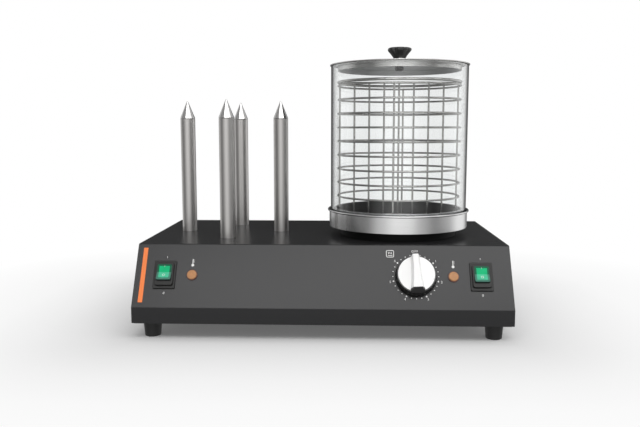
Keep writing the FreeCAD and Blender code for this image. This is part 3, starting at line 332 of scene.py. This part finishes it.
# Zinc plate: a soft grey shine
zinc_steel = surface("zinc_steel", "#A9A7A0", 0.38, metallic=1.0, bump=(0.6, 0.1))
FOOT_RECESS, FOOT_TOP = 16.4, 22.4
for end in ("front", "rear"):
    for side in ("left", "right"):
        node = f"foot_{end}_{side}"
        stand = Matrix.Translation(centre_of(node))
        foot = lathe([(0, FOOT_RECESS), (5.0, FOOT_RECESS)] + arc(5.6, 0.6, 0.6, 180, 270, 3)
                     + arc(9.2, 1.6, 1.6, 270, 355, 5)
                     + [(12.5, FOOT_TOP - 0.8), (12.1, FOOT_TOP), (0, FOOT_TOP)], steps=64)
        finish_piece(f"rubber_{node}", foot, foot_rubber, "casing", "foot_rubber", node, place=stand)
        screw = lathe([(0, FOOT_RECESS - 2.8)] + arc(2.8, 14.8, 1.2, 270, 360, 4)
                      + [(4.0, FOOT_RECESS), (0, FOOT_RECESS)], steps=32)
        finish_piece(f"screw_{node}", screw, zinc_steel, "casing", "satin_steel", place=stand)


# Bun spikes: stainless tube, ground along its length, with a turned and polished tip pressed in.
# A cartridge heater fills each, and a nut under the deck holds its threaded foot.
def steel(name, colour, roughness, brushed, spacing, strength):
    """Stainless steel with fine lines along the axes marked z, a given distance apart in mm."""
    material, tree = new_tree(name)
    place = add_node(tree, "ShaderNodeTexCoord").outputs["Object"]
    stretch = add_node(tree, "ShaderNodeMapping", Vector=place,
                       Scale=[1 if axis == "-" else 0.02 for axis in brushed])
    lines = add_node(tree, "ShaderNodeTexNoise", Vector=stretch.outputs[0], Scale=1000 / spacing,
                     Detail=3.0).outputs["Fac"]
    rough = add_node(tree, "ShaderNodeMapRange", Value=lines, To_Min=roughness * 0.85,
                     To_Max=roughness * 1.15).outputs["Result"]
    relief = add_node(tree, "ShaderNodeBump", Height=lines, Strength=strength,
                      Distance=0.0001).outputs["Normal"]
    shader = add_node(tree, "ShaderNodeBsdfPrincipled", Base_Color=linear(colour), Metallic=1.0,
                      Roughness=rough, Normal=relief)
    add_node(tree, "ShaderNodeOutputMaterial", Surface=shader.outputs["BSDF"])
    return material


# Ground stainless: satin, with lines 1 mm apart, coarser than the real 0.2 mm so that they show
ground_steel = steel("ground_stainless", "#BAB8B6", 0.36, "--z", 1.0, 0.25)
# Polished stainless: a clear, soft mirror
polished_steel = steel("polished_stainless", "#D9D8D6", 0.17, "--z", 1.5, 0.05)
# Turned stainless: a smooth mirror, with crisp light and dark streaks down the cone
turned_steel = steel("turned_stainless", "#B4B3B2", 0.15, "--z", 1.5, 0.0)
DECK = 122.1
SPIKE, BORE, TUBE_TOP = 11.0, 6.4, 169.9
SPIKES = ("left", "front", "rear", "right")
for name in SPIKES:
    foot = centre_of(f"spike_tube_{name}")
    seat = Matrix.Translation((foot.x, foot.y, DECK))
    tube = lathe([(BORE, -16), (8, -16), (8, 0), (SPIKE, 0), (SPIKE, TUBE_TOP - 0.6),
                  (SPIKE - 0.5, TUBE_TOP), (BORE, TUBE_TOP)], steps=72, closed=True)
    finish_piece(f"tube_{name}", tube, ground_steel, "casing", "satin_steel", f"spike_tube_{name}",
                 place=seat)
    tip = lathe([(0, TUBE_TOP - 8), (6.2, TUBE_TOP - 8), (6.2, TUBE_TOP), (SPIKE - 0.5, TUBE_TOP),
                 (SPIKE, TUBE_TOP + 0.6), (SPIKE, TUBE_TOP + 1.3), (1.0, 196.0)]
                + arc(0, 195.6, 1.0, 20, 90, 4), steps=72)
    finish_piece(f"tip_{name}", tip, turned_steel, "casing", "polished_steel", f"spike_tip_{name}",
                 place=seat)

# Steamer base: a black ring moulded in heat proof plastic. It stands on the deck round the heating
# plate, and the tray sits on it.
steamer = centre_of("glass_cylinder")
axis = Matrix.Translation((steamer.x, steamer.y, 0))
TRAY_FLOOR = 133.7
# Moulded black: deep and dull, so that it nearly vanishes in the tray's shade
moulded_black = surface("moulded_black", "#080808", 0.60, bump=(0.7, 0.12), colour_shift=(30.0, 0.08),
                        Specular_IOR_Level=0.2)
plinth = lathe([(81, DECK), (85, DECK), (85, TRAY_FLOOR - 1.5), (84.2, TRAY_FLOOR), (81, TRAY_FLOOR)],
               closed=True)
finish_piece("plinth_ring", plinth, moulded_black, "casing", "black_plastic", "steamer_plinth",
             place=axis)

# Tray: stainless sheet, drawn deep and with its edge rolled outwards. It lies loose in the ring and
# catches the water that runs down the glass.
# Drawn stainless: brushed round its wall in lines 1.2 mm apart, coarser than the real ones
tray_steel = steel("drawn_stainless", "#D3D3D3", 0.24, "zz-", 1.2, 0.12)
PAN_FLOOR = TRAY_FLOOR + 1.0
tray = lathe([(0, TRAY_FLOOR)] + arc(101.2, TRAY_FLOOR + 0.8, 0.8, 270, 360, 4) + [(102, 155.8)]
             + arc(102.95, 158.0, 1.5, 230, 490, 14) + [(101, 156.0)]
             + arc(99.4, PAN_FLOOR + 1.6, 1.6, 360, 270, 6) + [(0, PAN_FLOOR)], steps=160)
finish_piece("steam_tray_shell", tray, tray_steel, "casing", "polished_steel", "steam_tray",
             place=axis)

# Water pan: stainless outside, with a dark non-stick lining inside and a bright turned rim. It
# stands in the tray, inside the glass, and holds the water.
# Pan lining: a baked coat, near black, with a dull shine
pan_lining = surface("pan_lining", "#1C1C1C", 0.35, bump=(1.5, 0.1), colour_shift=(25.0, 0.10))
LINING_TOP = 160.5
pan = lathe([(0, PAN_FLOOR)] + arc(90, PAN_FLOOR + 3.0, 3.0, 270, 360, 6)
            + [(93, 160.1), (94.1, 160.1)] + arc(93.8, 160.8, 0.6, -60, 90, 5)
            + [(92.4, 161.4), (92, 160.9)]
            + arc(89.5, PAN_FLOOR + 3.5, 2.5, 360, 270, 5) + [(0, PAN_FLOOR + 1.0)], steps=160)
for face in pan.faces:
    middle = face.calc_center_median()
    inward = face.normal.x * middle.x + face.normal.y * middle.y < 0
    face.material_index = 1 if middle.z < LINING_TOP and (inward or face.normal.z > 0.7) else 0
finish_piece("water_pan_shell", pan, [tray_steel, pan_lining], "casing", "polished_steel",
             "water_pan", place=axis)

# Glass: a borosilicate tube, cut to length, with both rims fire polished. It stands loose in the
# tray round the pan, and lifts off.
# Borosilicate: clear face on, and grey with a breath of green where the eye looks along the wall
clear_glass, tree = new_tree("borosilicate_glass")
glass_shader = add_node(tree, "ShaderNodeBsdfPrincipled", Base_Color=linear("#FDFEFE"), Roughness=0.0,
                        IOR=1.47, Transmission_Weight=1.0)
glass_depth = add_node(tree, "ShaderNodeVolumeAbsorption", Color=(0.10, 0.13, 0.12, 1.0), Density=8.0)
add_node(tree, "ShaderNodeOutputMaterial", Surface=glass_shader.outputs["BSDF"],
         Volume=glass_depth.outputs["Volume"])
OUTER, INNER, GLASS_FOOT, GLASS_TOP, RIM = 100.0, 96.0, 135.0, 368.0, 1.2
tube = lathe(arc(INNER + RIM, GLASS_FOOT + RIM, RIM, 180, 270, 4)
             + arc(OUTER - RIM, GLASS_FOOT + RIM, RIM, 270, 360, 4)
             + [(OUTER, GLASS_FOOT + 2), (OUTER, GLASS_TOP - 2)]
             + arc(OUTER - RIM, GLASS_TOP - RIM, RIM, 0, 90, 4)
             + arc(INNER + RIM, GLASS_TOP - RIM, RIM, 90, 180, 4)
             + [(INNER, GLASS_TOP - 2), (INNER, GLASS_FOOT + 2)], steps=192, closed=True)
finish_piece("glass_tube", tube, clear_glass, "glass", "glass", "glass_cylinder", place=axis)


# Basket: bright plated steel wire. Rings are welded to four uprights, and a divider of upright
# wires stands across the middle, between a foot wire and the thick top ring.
def add_ring(form, radius, height, thick, steps=120, sides=10):
    """Add a round wire ring to the form."""
    start = Matrix.Translation((radius, 0, height)) @ Matrix.Rotation(pi / 2, 4, "X")
    section = bmesh.ops.create_circle(form, segments=sides, radius=thick / 2, matrix=start)
    edges = list({edge for corner in section["verts"] for edge in corner.link_edges})
    bmesh.ops.spin(form, geom=section["verts"] + edges, cent=(0, 0, 0), axis=(0, 0, 1), angle=tau,
                   steps=steps, use_merge=True)


def add_rod(form, start, end, thick, sides=12):
    """Add a straight round wire with rounded ends to the form."""
    start, end = Vector(start), Vector(end)
    run = end - start
    stand = Matrix.Translation((start + end) / 2) @ run.to_track_quat("Z", "Y").to_matrix().to_4x4()
    rod = bmesh.ops.create_cone(form, segments=sides, radius1=thick / 2, radius2=thick / 2,
                                depth=run.length, cap_ends=True, matrix=stand)
    ends = [edge for edge in {e for v in rod["verts"] for e in v.link_edges}
            if edge.calc_face_angle() > 1]
    bmesh.ops.bevel(form, geom=ends, offset=thick * 0.25, offset_type="OFFSET", segments=2,
                    profile=0.5, affect="EDGES", material=-1)


# Bright plating: nickel and chromium over drawn wire, which gives thin light and dark streaks
bright_wire = surface("bright_plated_wire", "#B9B8B5", 0.26, metallic=1.0, bump=(1.5, 0.05))
BASKET_FOOT = centre_of("basket_cage").z
WIRE, TOP_WIRE = 2.8, 4.0
RING, SPACING, GAP = 89.3, 20.05, 21.8
FLOOR_WIRES, LOWEST_RING, SECOND_RING, TOP_RING = (
    BASKET_FOOT + height for height in (1.3, 3.6, 42.9, 208.3))
cage = bmesh.new()
for level in range(9):
    add_ring(cage, RING, SECOND_RING + SPACING * level, WIRE)
add_ring(cage, RING, LOWEST_RING, WIRE)
add_ring(cage, 89.0, TOP_RING, TOP_WIRE, sides=14)
for x, y, top in ((-87.2, 0, 208.0), (87.2, 0, 208.0), (-12.9, -86.2, 204.0), (12.9, 86.2, 204.0)):
    add_rod(cage, (x, y, BASKET_FOOT + 1.5), (x, y, BASKET_FOOT + top), WIRE)
for x in (-2 * GAP, 0, 2 * GAP):
    reach = sqrt(RING ** 2 - x ** 2)
    add_rod(cage, (x, -reach, FLOOR_WIRES), (x, reach, FLOOR_WIRES), WIRE)
bmesh.ops.recalc_face_normals(cage, faces=cage.faces)
finish_piece("wire_cage", cage, bright_wire, "basket", "wire_chrome", "basket_cage", place=axis,
             sharp=50)
divider = bmesh.new()
for step in range(-3, 4):
    add_rod(divider, (GAP * step, 0, LOWEST_RING), (GAP * step, 0, BASKET_FOOT + 208.0), WIRE)
for height in (LOWEST_RING, TOP_RING):
    add_rod(divider, (-4 * GAP, 0, height), (4 * GAP, 0, height), WIRE)
bmesh.ops.recalc_face_normals(divider, faces=divider.faces)
finish_piece("wire_divider", divider, bright_wire, "basket", "wire_chrome", "basket_divider",
             place=axis, sharp=50)

# Lid: pressed stainless. Its rim lies on the glass and its skirt hangs inside. A screw with a cap
# nut holds the bright collar and the fluted knob.
# Pressed stainless: brushed in rings. Inside the skirt: matt steel painted near white, painted light
# that brightens the lid's underside where little lamp light reaches it through the glass
lid_steel = steel("pressed_stainless", "#C9C8C6", 0.27, "zz-", 1.2, 0.08)
matt_steel = surface("pale_painted_light_stainless", "#F6F6F6", 0.60, metallic=0.4, bump=(0.8, 0.08),
                     colour_shift=(20.0, 0.03))
LID = centre_of("lid_cap").z + 7.6
SKIRT_FOOT, LID_TOP, COLLAR_TOP = LID - 7.6, LID + 1.6, LID + 11.0
lid = lathe([(2.8, LID), (88.4, LID)] + arc(88.4, LID - 0.5, 0.5, 90, 0, 3)
            + [(88.9, SKIRT_FOOT), (89.8, SKIRT_FOOT), (89.8, LID)]
            + arc(100.8, LID + 0.8, 0.8, 270, 450, 8) + [(30, LID_TOP), (2.8, LID_TOP)],
            steps=160, closed=True)
# Faces under the lid, inside the skirt, take the pale steel: painted light.
for face in lid.faces:
    middle = face.calc_center_median()
    face.material_index = 1 if middle.xy.length < 89.2 and middle.z < LID + 0.5 else 0
finish_piece("lid_pressing", lid, [lid_steel, matt_steel], "lid", "polished_steel", "lid_cap",
             place=axis)
collar = lathe([(2.8, LID_TOP), (8.6, LID_TOP)] + arc(8.6, LID_TOP + 0.6, 0.6, 270, 360, 3)
               + arc(8.6, COLLAR_TOP - 0.6, 0.6, 0, 90, 3) + [(2.8, COLLAR_TOP)], steps=64,
               closed=True)
finish_piece("lid_collar", collar, polished_steel, "lid", "polished_steel", "lid_ferrule", place=axis)
screw = lathe([(0, LID - 7.0)] + arc(4.3, LID - 5.2, 1.8, 270, 360, 5)
              + [(6.1, LID), (2.5, LID), (2.5, LID + 19.7), (0, LID + 19.7)], steps=48)
finish_piece("lid_cap_nut", screw, moulded_black, "lid", "polished_steel", "lid_screw", place=axis)

# Knob: black phenolic, moulded hot round a brass thread, with six thumb hollows down its flared
# side. It screws down onto the collar.
# Phenolic: hard and smooth, with small clear highlights on its edges
phenolic = surface("moulded_phenolic", "#121212", 0.30, bump=(0.9, 0.06), colour_shift=(12.0, 0.10))
HOLLOWS, AROUND = 6, 144
# Each level of the knob: its height over the collar, its radius and the depth of its hollows
KNOB_LEVELS = ((0, 9.0, 0.0), (0.8, 9.3, 0.1), (3.0, 10.6, 0.5), (6.0, 12.9, 1.2), (9.0, 15.6, 2.0),
               (10.8, 17.2, 2.5), (12.0, 17.7, 2.6), (13.6, 17.5, 2.5), (14.6, 16.6, 2.1),
               (15.3, 14.6, 1.3), (15.8, 10.0, 0.3), (16.1, 4.0, 0.0))
knob = bmesh.new()
loops = []
for height, base, depth in KNOB_LEVELS:
    ring = []
    for step in range(AROUND):
        turn = tau * step / AROUND
        radius = base - depth * max(0.0, cos(HOLLOWS * turn)) ** 1.5
        ring.append(knob.verts.new((radius * cos(turn), radius * sin(turn), COLLAR_TOP + height)))
    loops.append([knob.edges.new((ring[i], ring[(i + 1) % AROUND])) for i in range(AROUND)])
for lower, upper in zip(loops, loops[1:]):
    bmesh.ops.bridge_loops(knob, edges=lower + upper)
bmesh.ops.contextual_create(knob, geom=loops[0])
bmesh.ops.contextual_create(knob, geom=loops[-1])
bmesh.ops.recalc_face_normals(knob, faces=knob.faces)
finish_piece("fluted_knob", knob, phenolic, "lid", "black_plastic", "lid_knob", place=axis, sharp=60)

# Stripe: a strip of orange vinyl film with rounded corners, stuck down along the panel's left edge.
# The panel has its own frame: X to the right, Y up the slope and Z out, from the lip's upper edge.
LIP_TOP, PANEL_RUN = 44.6, 45.35
SLOPE = atan2(DECK - LIP_TOP, PANEL_RUN)
on_panel = Matrix.Translation((0, front_edge * 1000, LIP_TOP)) @ Matrix.Rotation(SLOPE, 4, "X")


def at_panel(x, up, out=0.0, tilt=0.0):
    """A place on the panel, with an extra tilt about X in degrees."""
    return on_panel @ Matrix.Translation((x, up, out)) @ Matrix.Rotation(radians(tilt), 4, "X")


def plate(width, length, low, high, corner, steps=4):
    """A flat block centred on Z, with rounded upright corners."""
    form = bmesh.new()
    size = Matrix.Diagonal((width, length, high - low, 1))
    bmesh.ops.create_cube(form, size=1.0, matrix=Matrix.Translation((0, 0, (low + high) / 2)) @ size)
    upright = [edge for edge in form.edges if abs(edge.verts[0].co.z - edge.verts[1].co.z) > 0.001]
    bmesh.ops.bevel(form, geom=upright, offset=corner, offset_type="OFFSET", segments=steps,
                    profile=0.5, affect="EDGES", material=-1)
    return form


# Orange vinyl: even and satin, with hardly any grain
vinyl = surface("orange_vinyl", "#FA8238", 0.45, bump=(2.0, 0.04), colour_shift=(60.0, 0.05))
stripe = plate(6.0, 76.7, 0.0, 0.28, corner=0.6, steps=3)
soften(stripe, 0.1, segments=1, angle=60)
finish_piece("orange_stripe", stripe, vinyl, "casing", "stripe_film", "panel_stripe",
             place=at_panel(-239.0, 45.35))

# Rocker switches: a black moulded case with a raised collar, snapped into the panel, and a rocker
# under a green translucent cap whose two halves meet in a shallow valley.
ROW = 45.3
SWITCHES = (("left", -209.7), ("right", 209.7))
ROCKER_WIDTH, ROCKER_HALF, CAP_FOOT, VALLEY, CAP_THICK = 19.2, 11.27, 12.42, 10.66, 2.0


def at_rocker(x):
    """A rocker's place: its pin lies 7 mm under the panel, and it is tipped nine degrees to on."""
    return at_panel(x, ROW, -7.0, -9.0)


# Switch nylon: black, with a fine dull grain. Green cap: moulded clear green, darker round the rim of
# each half. Its lower half is painted paler and its upper half deeper: painted light and painted shade,
# as the lower half faces more up towards the lamps.
switch_black = surface("switch_nylon", "#1B1B1A", 0.40, bump=(0.5, 0.08), colour_shift=(8.0, 0.06),
                       Specular_IOR_Level=0.3)
cap_greens = [surface(f"green_cap_{part}", colour, rough, colour_shift=(9.0, shift),
                      Specular_IOR_Level=0.2)
              for part, colour, rough, shift in (("upper_rim_painted_shade", "#0F5A40", 0.45, 0.10),
                                                 ("upper_window_painted_shade", "#04B878", 0.50, 0.08),
                                                 ("lower_rim_painted_light", "#4C8070", 0.45, 0.10),
                                                 ("lower_window_painted_light", "#52C49A", 0.45, 0.08))]
for side, x in SWITCHES:
    bezel = plate(29.5, 39.0, 0.0, 2.2, corner=1.2)
    soften(bezel, 0.5, segments=2, angle=60)
    finish_piece(f"switch_bezel_{side}", bezel, switch_black, "casing", "black_plastic",
                 f"switch_case_{side}", place=at_panel(x, ROW))
    collar = plate(24.4, 31.4, 2.1, 5.0, corner=3.0)
    soften(collar, 0.6, segments=3, angle=60)
    finish_piece(f"switch_collar_{side}", collar, switch_black, "casing", "black_plastic",
                 place=at_panel(x, ROW))
    rocker = plate(ROCKER_WIDTH, 22.6, -4.0, 12.4, corner=0.4, steps=2)
    finish_piece(f"rocker_block_{side}", rocker, switch_black, f"{side}_rocker", "black_plastic",
                 f"rocker_{side}", place=at_rocker(x))
    cap = bmesh.new()
    outline = [(-ROCKER_HALF, CAP_FOOT), (0, VALLEY), (ROCKER_HALF, CAP_FOOT),
               (ROCKER_HALF, CAP_FOOT + CAP_THICK), (0, VALLEY + CAP_THICK),
               (-ROCKER_HALF, CAP_FOOT + CAP_THICK)]
    cap.faces.new([cap.verts.new((-ROCKER_WIDTH / 2, y, z)) for y, z in outline])
    drawn = bmesh.ops.extrude_face_region(cap, geom=cap.faces[:])
    moved = [part for part in drawn["geom"] if isinstance(part, bmesh.types.BMVert)]
    bmesh.ops.translate(cap, vec=(ROCKER_WIDTH, 0, 0), verts=moved)
    bmesh.ops.recalc_face_normals(cap, faces=cap.faces)
    corners = [edge for edge in cap.edges if abs(edge.verts[0].co.x - edge.verts[1].co.x) < 0.01
               and all(abs(abs(v.co.y) - ROCKER_HALF) < 0.01 for v in edge.verts)]
    bmesh.ops.bevel(cap, geom=corners, offset=2.0, offset_type="OFFSET", segments=4, profile=0.5,
                    affect="EDGES", material=-1)
    tops = [face for face in cap.faces if face.normal.z > 0.9 and face.calc_area() > 100]
    # Faces on the upper half take the shaded greens and faces on the lower half the lit greens: painted
    # light and shade.
    for face in cap.faces:
        face.material_index = 0 if face.calc_center_median().y > 0 else 2
    bmesh.ops.inset_region(cap, faces=tops, thickness=2.7, depth=0.0, use_boundary=True,
                           use_even_offset=True)
    for face in tops:
        face.material_index += 1
    soften(cap, 0.4, segments=2, angle=50)
    finish_piece(f"rocker_cap_{side}", cap, cap_greens, f"{side}_rocker", "green_lens",
                 f"rocker_lens_{side}", place=at_rocker(x))

# Pilot lamps: a neon lamp behind each amber lens. A dark red moulded collar holds the lens and is
# pushed through a round hole in the panel.
# Collar plastic: dark red brown with a soft shine
lamp_red = surface("lamp_collar_plastic", "#5A2A1C", 0.30, bump=(0.8, 0.05))
# Amber lens: its prismatic back breaks the light into small warm patches
amber = surface("amber_lens_plastic", "#B37A45", 0.40, bump=(1.6, 0.4), colour_shift=(3.0, 0.12))
for side, x in (("left", -173.2), ("right", 173.2)):
    body = lathe([(0, -22), (5.0, -22), (5.4, -21.6), (5.4, 0), (7.4, 0)] + arc(6.9, 0.9, 0.5, 0, 90, 3)
                 + [(0, 1.4)], steps=48)
    finish_piece(f"lamp_collar_{side}", body, lamp_red, "casing", "lamp_collar", f"lamp_body_{side}",
                 place=at_panel(x, ROW))
    lens = lathe([(0, 1.2), (6.3, 1.2)] + arc(5.7, 2.0, 0.6, 0, 80, 3) + [(3.0, 2.6), (0, 2.6)],
                 steps=48)
    finish_piece(f"lamp_lens_{side}_cap", lens, amber, "casing", "amber_lens", f"lamp_lens_{side}",
                 place=at_panel(x, ROW))

# Dial: a black moulded skirt and grip core, with a white pressed face that folds up over the grip.
# The core's black tail slopes down to the skirt's edge beyond the end of the white cover.
# Phenolic: near black with a low shine. Enamelled face: clean white and satin
dial_black = surface("dial_phenolic", "#141414", 0.33, bump=(0.6, 0.06), colour_shift=(10.0, 0.06))
dial_white = surface("white_enamelled_face", "#F7F7F6", 0.40, bump=(3.0, 0.03),
                     colour_shift=(15.0, 0.01))
DIAL_X, DIAL_UP, GRIP_TURN = 123.85, 45.4, 2.8
dial_place = at_panel(DIAL_X, DIAL_UP)
grip_place = dial_place @ Matrix.Rotation(radians(GRIP_TURN), 4, "Z")
SKIRT_TOP = 11.2
skirt = lathe([(3.1, 0.6), (27.0, 0.6)] + arc(27.0, 1.1, 0.5, 270, 360, 3) + [(25.9, 10.4)]
              + arc(25.2, 10.5, 0.7, 0, 90, 4) + [(3.1, SKIRT_TOP)], steps=128, closed=True)
finish_piece("dial_skirt", skirt, dial_black, "dial", "black_plastic", "dial_knob", "dial_shaft",
             place=dial_place)


def grip(nose, tail, nose_half, tail_half, low, high, lean=3.0, hollow=1.5, steps=24):
    """The grip bar: a narrow pointer end, hollow leaning sides and a wide tail."""
    form = bmesh.new()
    rings = []
    for height, inward in ((low, 0), (high, lean)):
        sides = []
        for step in range(steps + 1):
            share = step / steps
            half = tail_half + (nose_half - tail_half) * share - hollow * 4 * share * (1 - share)
            sides.append((half - inward, -tail + (nose + tail) * share))
        around = [form.verts.new((x, y, height)) for x, y in sides]
        around += [form.verts.new((-x, y, height)) for x, y in reversed(sides)]
        rings.append([form.edges.new((around[i - 1], around[i])) for i in range(len(around))])
    bmesh.ops.bridge_loops(form, edges=rings[0] + rings[1])
    bmesh.ops.contextual_create(form, geom=rings[0])
    bmesh.ops.contextual_create(form, geom=rings[1])
    bmesh.ops.recalc_face_normals(form, faces=form.faces)
    return form


def slice_off(form, point, normal):
    """Cut away what lies beyond a plane and close the cut."""
    shape = form.verts[:] + form.edges[:] + form.faces[:]
    cut = bmesh.ops.bisect_plane(form, geom=shape, dist=0.001, plane_co=point, plane_no=normal,
                                 clear_outer=True)
    rim = [part for part in cut["geom_cut"] if isinstance(part, bmesh.types.BMEdge)]
    bmesh.ops.contextual_create(form, geom=rim)
    bmesh.ops.recalc_face_normals(form, faces=form.faces)


UNDER_NOSE, DOWN_TAIL = (0, 0.90, -0.435), (0, -0.77, 0.64)
bar = grip(nose=25.4, tail=25.6, nose_half=6.6, tail_half=10.6, low=11.8, high=19.0)
slice_off(bar, (0, -19.7, 0), (0, -1, 0))
slice_off(bar, (0, 25.4, 18.0), UNDER_NOSE)
soften(bar, 0.45, segments=3, angle=40)
finish_piece("dial_grip_cover", bar, dial_white, "dial", "dial_white", place=grip_place)
core = grip(nose=24.6, tail=25.6, nose_half=5.8, tail_half=10.0, low=11.0, high=18.2)
slice_off(core, (0, -20.4, 18.2), DOWN_TAIL)
slice_off(core, (0, 24.4, 17.2), UNDER_NOSE)
soften(core, 0.4, segments=2, angle=40)
finish_piece("dial_grip_core", core, dial_black, "dial", "black_plastic", place=grip_place)
FACE = [(0, SKIRT_TOP), (23.7, SKIRT_TOP), (24.0, 11.5), (24.0, 11.8), (23.7, 12.0), (0, 12.0)]
TAIL_EDGE = (0, -20.0, 0)
disc = lathe(FACE, steps=128)
slice_off(disc, TAIL_EDGE, (0, -1, 0))
finish_piece("dial_disc", disc, dial_white, "dial", "dial_white", "dial_face", place=grip_place)
for side, sign in (("left", -1), ("right", 1)):
    wing = lathe(FACE, steps=128)
    slice_off(wing, TAIL_EDGE, (0, 1, 0))
    slice_off(wing, (9.5 * sign, 0, 0), (-sign, 0, 0))
    finish_piece(f"dial_disc_{side}", wing, dial_white, "dial", "dial_white", place=grip_place)


# Print on the panel: the dial's dots and figures, the marks of the switches, a thermometer over
# each lamp and a small square sign, all screen printed in white and drawn as thin raised shapes.
def add_dot(form, x, y, radius, sides=20):
    """Add a round dot."""
    bmesh.ops.create_cone(form, segments=sides, radius1=radius, radius2=radius, depth=INK,
                          cap_ends=True, matrix=Matrix.Translation((x, y, INK / 2)))


def add_bar(form, x, y, width, length, turn=0.0):
    """Add a straight bar, turned in radians."""
    stand = Matrix.Translation((x, y, INK / 2)) @ Matrix.Rotation(turn, 4, "Z")
    bmesh.ops.create_cube(form, size=1.0, matrix=stand @ Matrix.Diagonal((width, length, INK, 1)))


def add_text(form, words, x, y, size, spacing=1.0):
    """Add lettering, centred on x and y, to the form."""
    curve = bpy.data.curves.new("lettering", "FONT")
    curve.body = words
    curve.size = size
    curve.space_character = spacing
    curve.align_x, curve.align_y = "CENTER", "CENTER"
    curve.extrude = INK / 2
    holder = bpy.data.objects.new("lettering", curve)
    mesh = bpy.data.meshes.new_from_object(holder)
    mesh.transform(Matrix.Translation((x, y, INK / 2)))
    form.from_mesh(mesh)
    bpy.data.objects.remove(holder)
    bpy.data.curves.remove(curve)
    bpy.data.meshes.remove(mesh)


def add_frame(form, x, y, width, height, line, corner):
    """Add a square outline with rounded corners."""
    rings = []
    for radius in (corner - line, corner):
        ring = []
        for sign_x, sign_y, start in ((1, 1, 0), (-1, 1, 90), (-1, -1, 180), (1, -1, 270)):
            for step in range(6):
                turn = radians(start + 18 * step)
                ring.append(form.verts.new((x + sign_x * (width / 2 - corner) + radius * cos(turn),
                                            y + sign_y * (height / 2 - corner) + radius * sin(turn),
                                            INK)))
        rings.append([form.edges.new((ring[i - 1], ring[i])) for i in range(len(ring))])
    faces = bmesh.ops.bridge_loops(form, edges=rings[0] + rings[1])["faces"]
    drawn = bmesh.ops.extrude_face_region(form, geom=faces)
    moved = [part for part in drawn["geom"] if isinstance(part, bmesh.types.BMVert)]
    bmesh.ops.translate(form, vec=(0, 0, -INK), verts=moved)


# Screen ink: white and dull. It is drawn 0.06 mm thick, about twice the real thickness
screen_ink = surface("screen_ink", "#F2F2F0", 0.5, bump=(0.4, 0.05), colour_shift=(2.0, 0.02))
INK = 0.06
DOTS, DOT_RING, FIGURE_RING, FIGURE_SIZE = 28, 30.2, 34.6, 4.4
ink = bmesh.new()
for step in range(1, DOTS):
    right, up = sin(tau * step / DOTS), cos(tau * step / DOTS)
    numbered = step % 4 == 0
    add_dot(ink, DIAL_X + DOT_RING * right, DIAL_UP + DOT_RING * up, 1.1 if numbered else 0.72)
    if numbered:
        add_text(ink, str(step // 4), DIAL_X + FIGURE_RING * right, DIAL_UP + FIGURE_RING * up,
                 FIGURE_SIZE)
add_text(ink, "OFF", DIAL_X - 0.3, 80.5, FIGURE_SIZE, 1.25)
for x in (-208.8, 209.9):
    add_text(ink, "I", x, 70.3, 4.2)
    add_text(ink, "0", x, 20.0, FIGURE_SIZE)
for x in (-173.5, 173.5):
    add_dot(ink, x, 59.3, 1.9, 28)
    add_bar(ink, x, 63.8, 1.0, 8.0)
    for step in range(3):
        add_bar(ink, x + 1.5, 63.4 + 1.6 * step, 1.2, 0.4)
SIGN_X = 90.6
add_frame(ink, SIGN_X, 77.2, 10.4, 10.2, 0.8, 2.0)
for step in (-1, 0, 1):
    add_bar(ink, SIGN_X + 2.0 * step, 78.2, 0.6, 3.6, radians(14))
add_bar(ink, SIGN_X, 74.6, 6.2, 0.7)
bmesh.ops.recalc_face_normals(ink, faces=ink.faces)
finish_piece("panel_print", ink, screen_ink, "casing", "dial_white", place=at_panel(0, 0, 0.02))

# Rocker print: I on the upper half of each green cap and O on the lower half, in the same ink.
# Each mark lies on its half's slope.
CAP_MIDDLE, CAP_RISE = 12.7, 0.156
for side, x in SWITCHES:
    for words, state, y, tilt, size in (("I", "on", 8.3, 8.9, 3.0), ("O", "off", -4.6, -8.9, 5.0)):
        mark = bmesh.new()
        add_text(mark, words, 0, 0, size)
        spot = at_rocker(x) @ Matrix.Translation((0, y, CAP_MIDDLE + abs(y) * CAP_RISE))
        finish_piece(f"rocker_mark_{side}_{state}", mark, screen_ink, f"{side}_rocker", "dial_white",
                     place=spot @ Matrix.Rotation(radians(tilt), 4, "X"))

# Back and inside: the cable gland with its lock nut, the terminal block, the regulator behind the
# dial, the heating plate and the spikes' heaters and nuts keep their CAD shapes and get a finish.
# Gland nylon: black, with the dull grain of its mould
gland_nylon = surface("gland_nylon", "#1A1A1A", 0.42, bump=(0.6, 0.1), colour_shift=(9.0, 0.08))
for nodes, finish in ((("cable_gland", "gland_lock_nut"), gland_nylon),
                      (("terminal_block", "heat_regulator"), moulded_black),
                      (("spike_nuts", "element_terminals", "heating_plate"), zinc_steel),
                      ([f"spike_heater_{name}" for name in SPIKES], ground_steel)):
    for node in nodes:
        paint_node(node, finish)
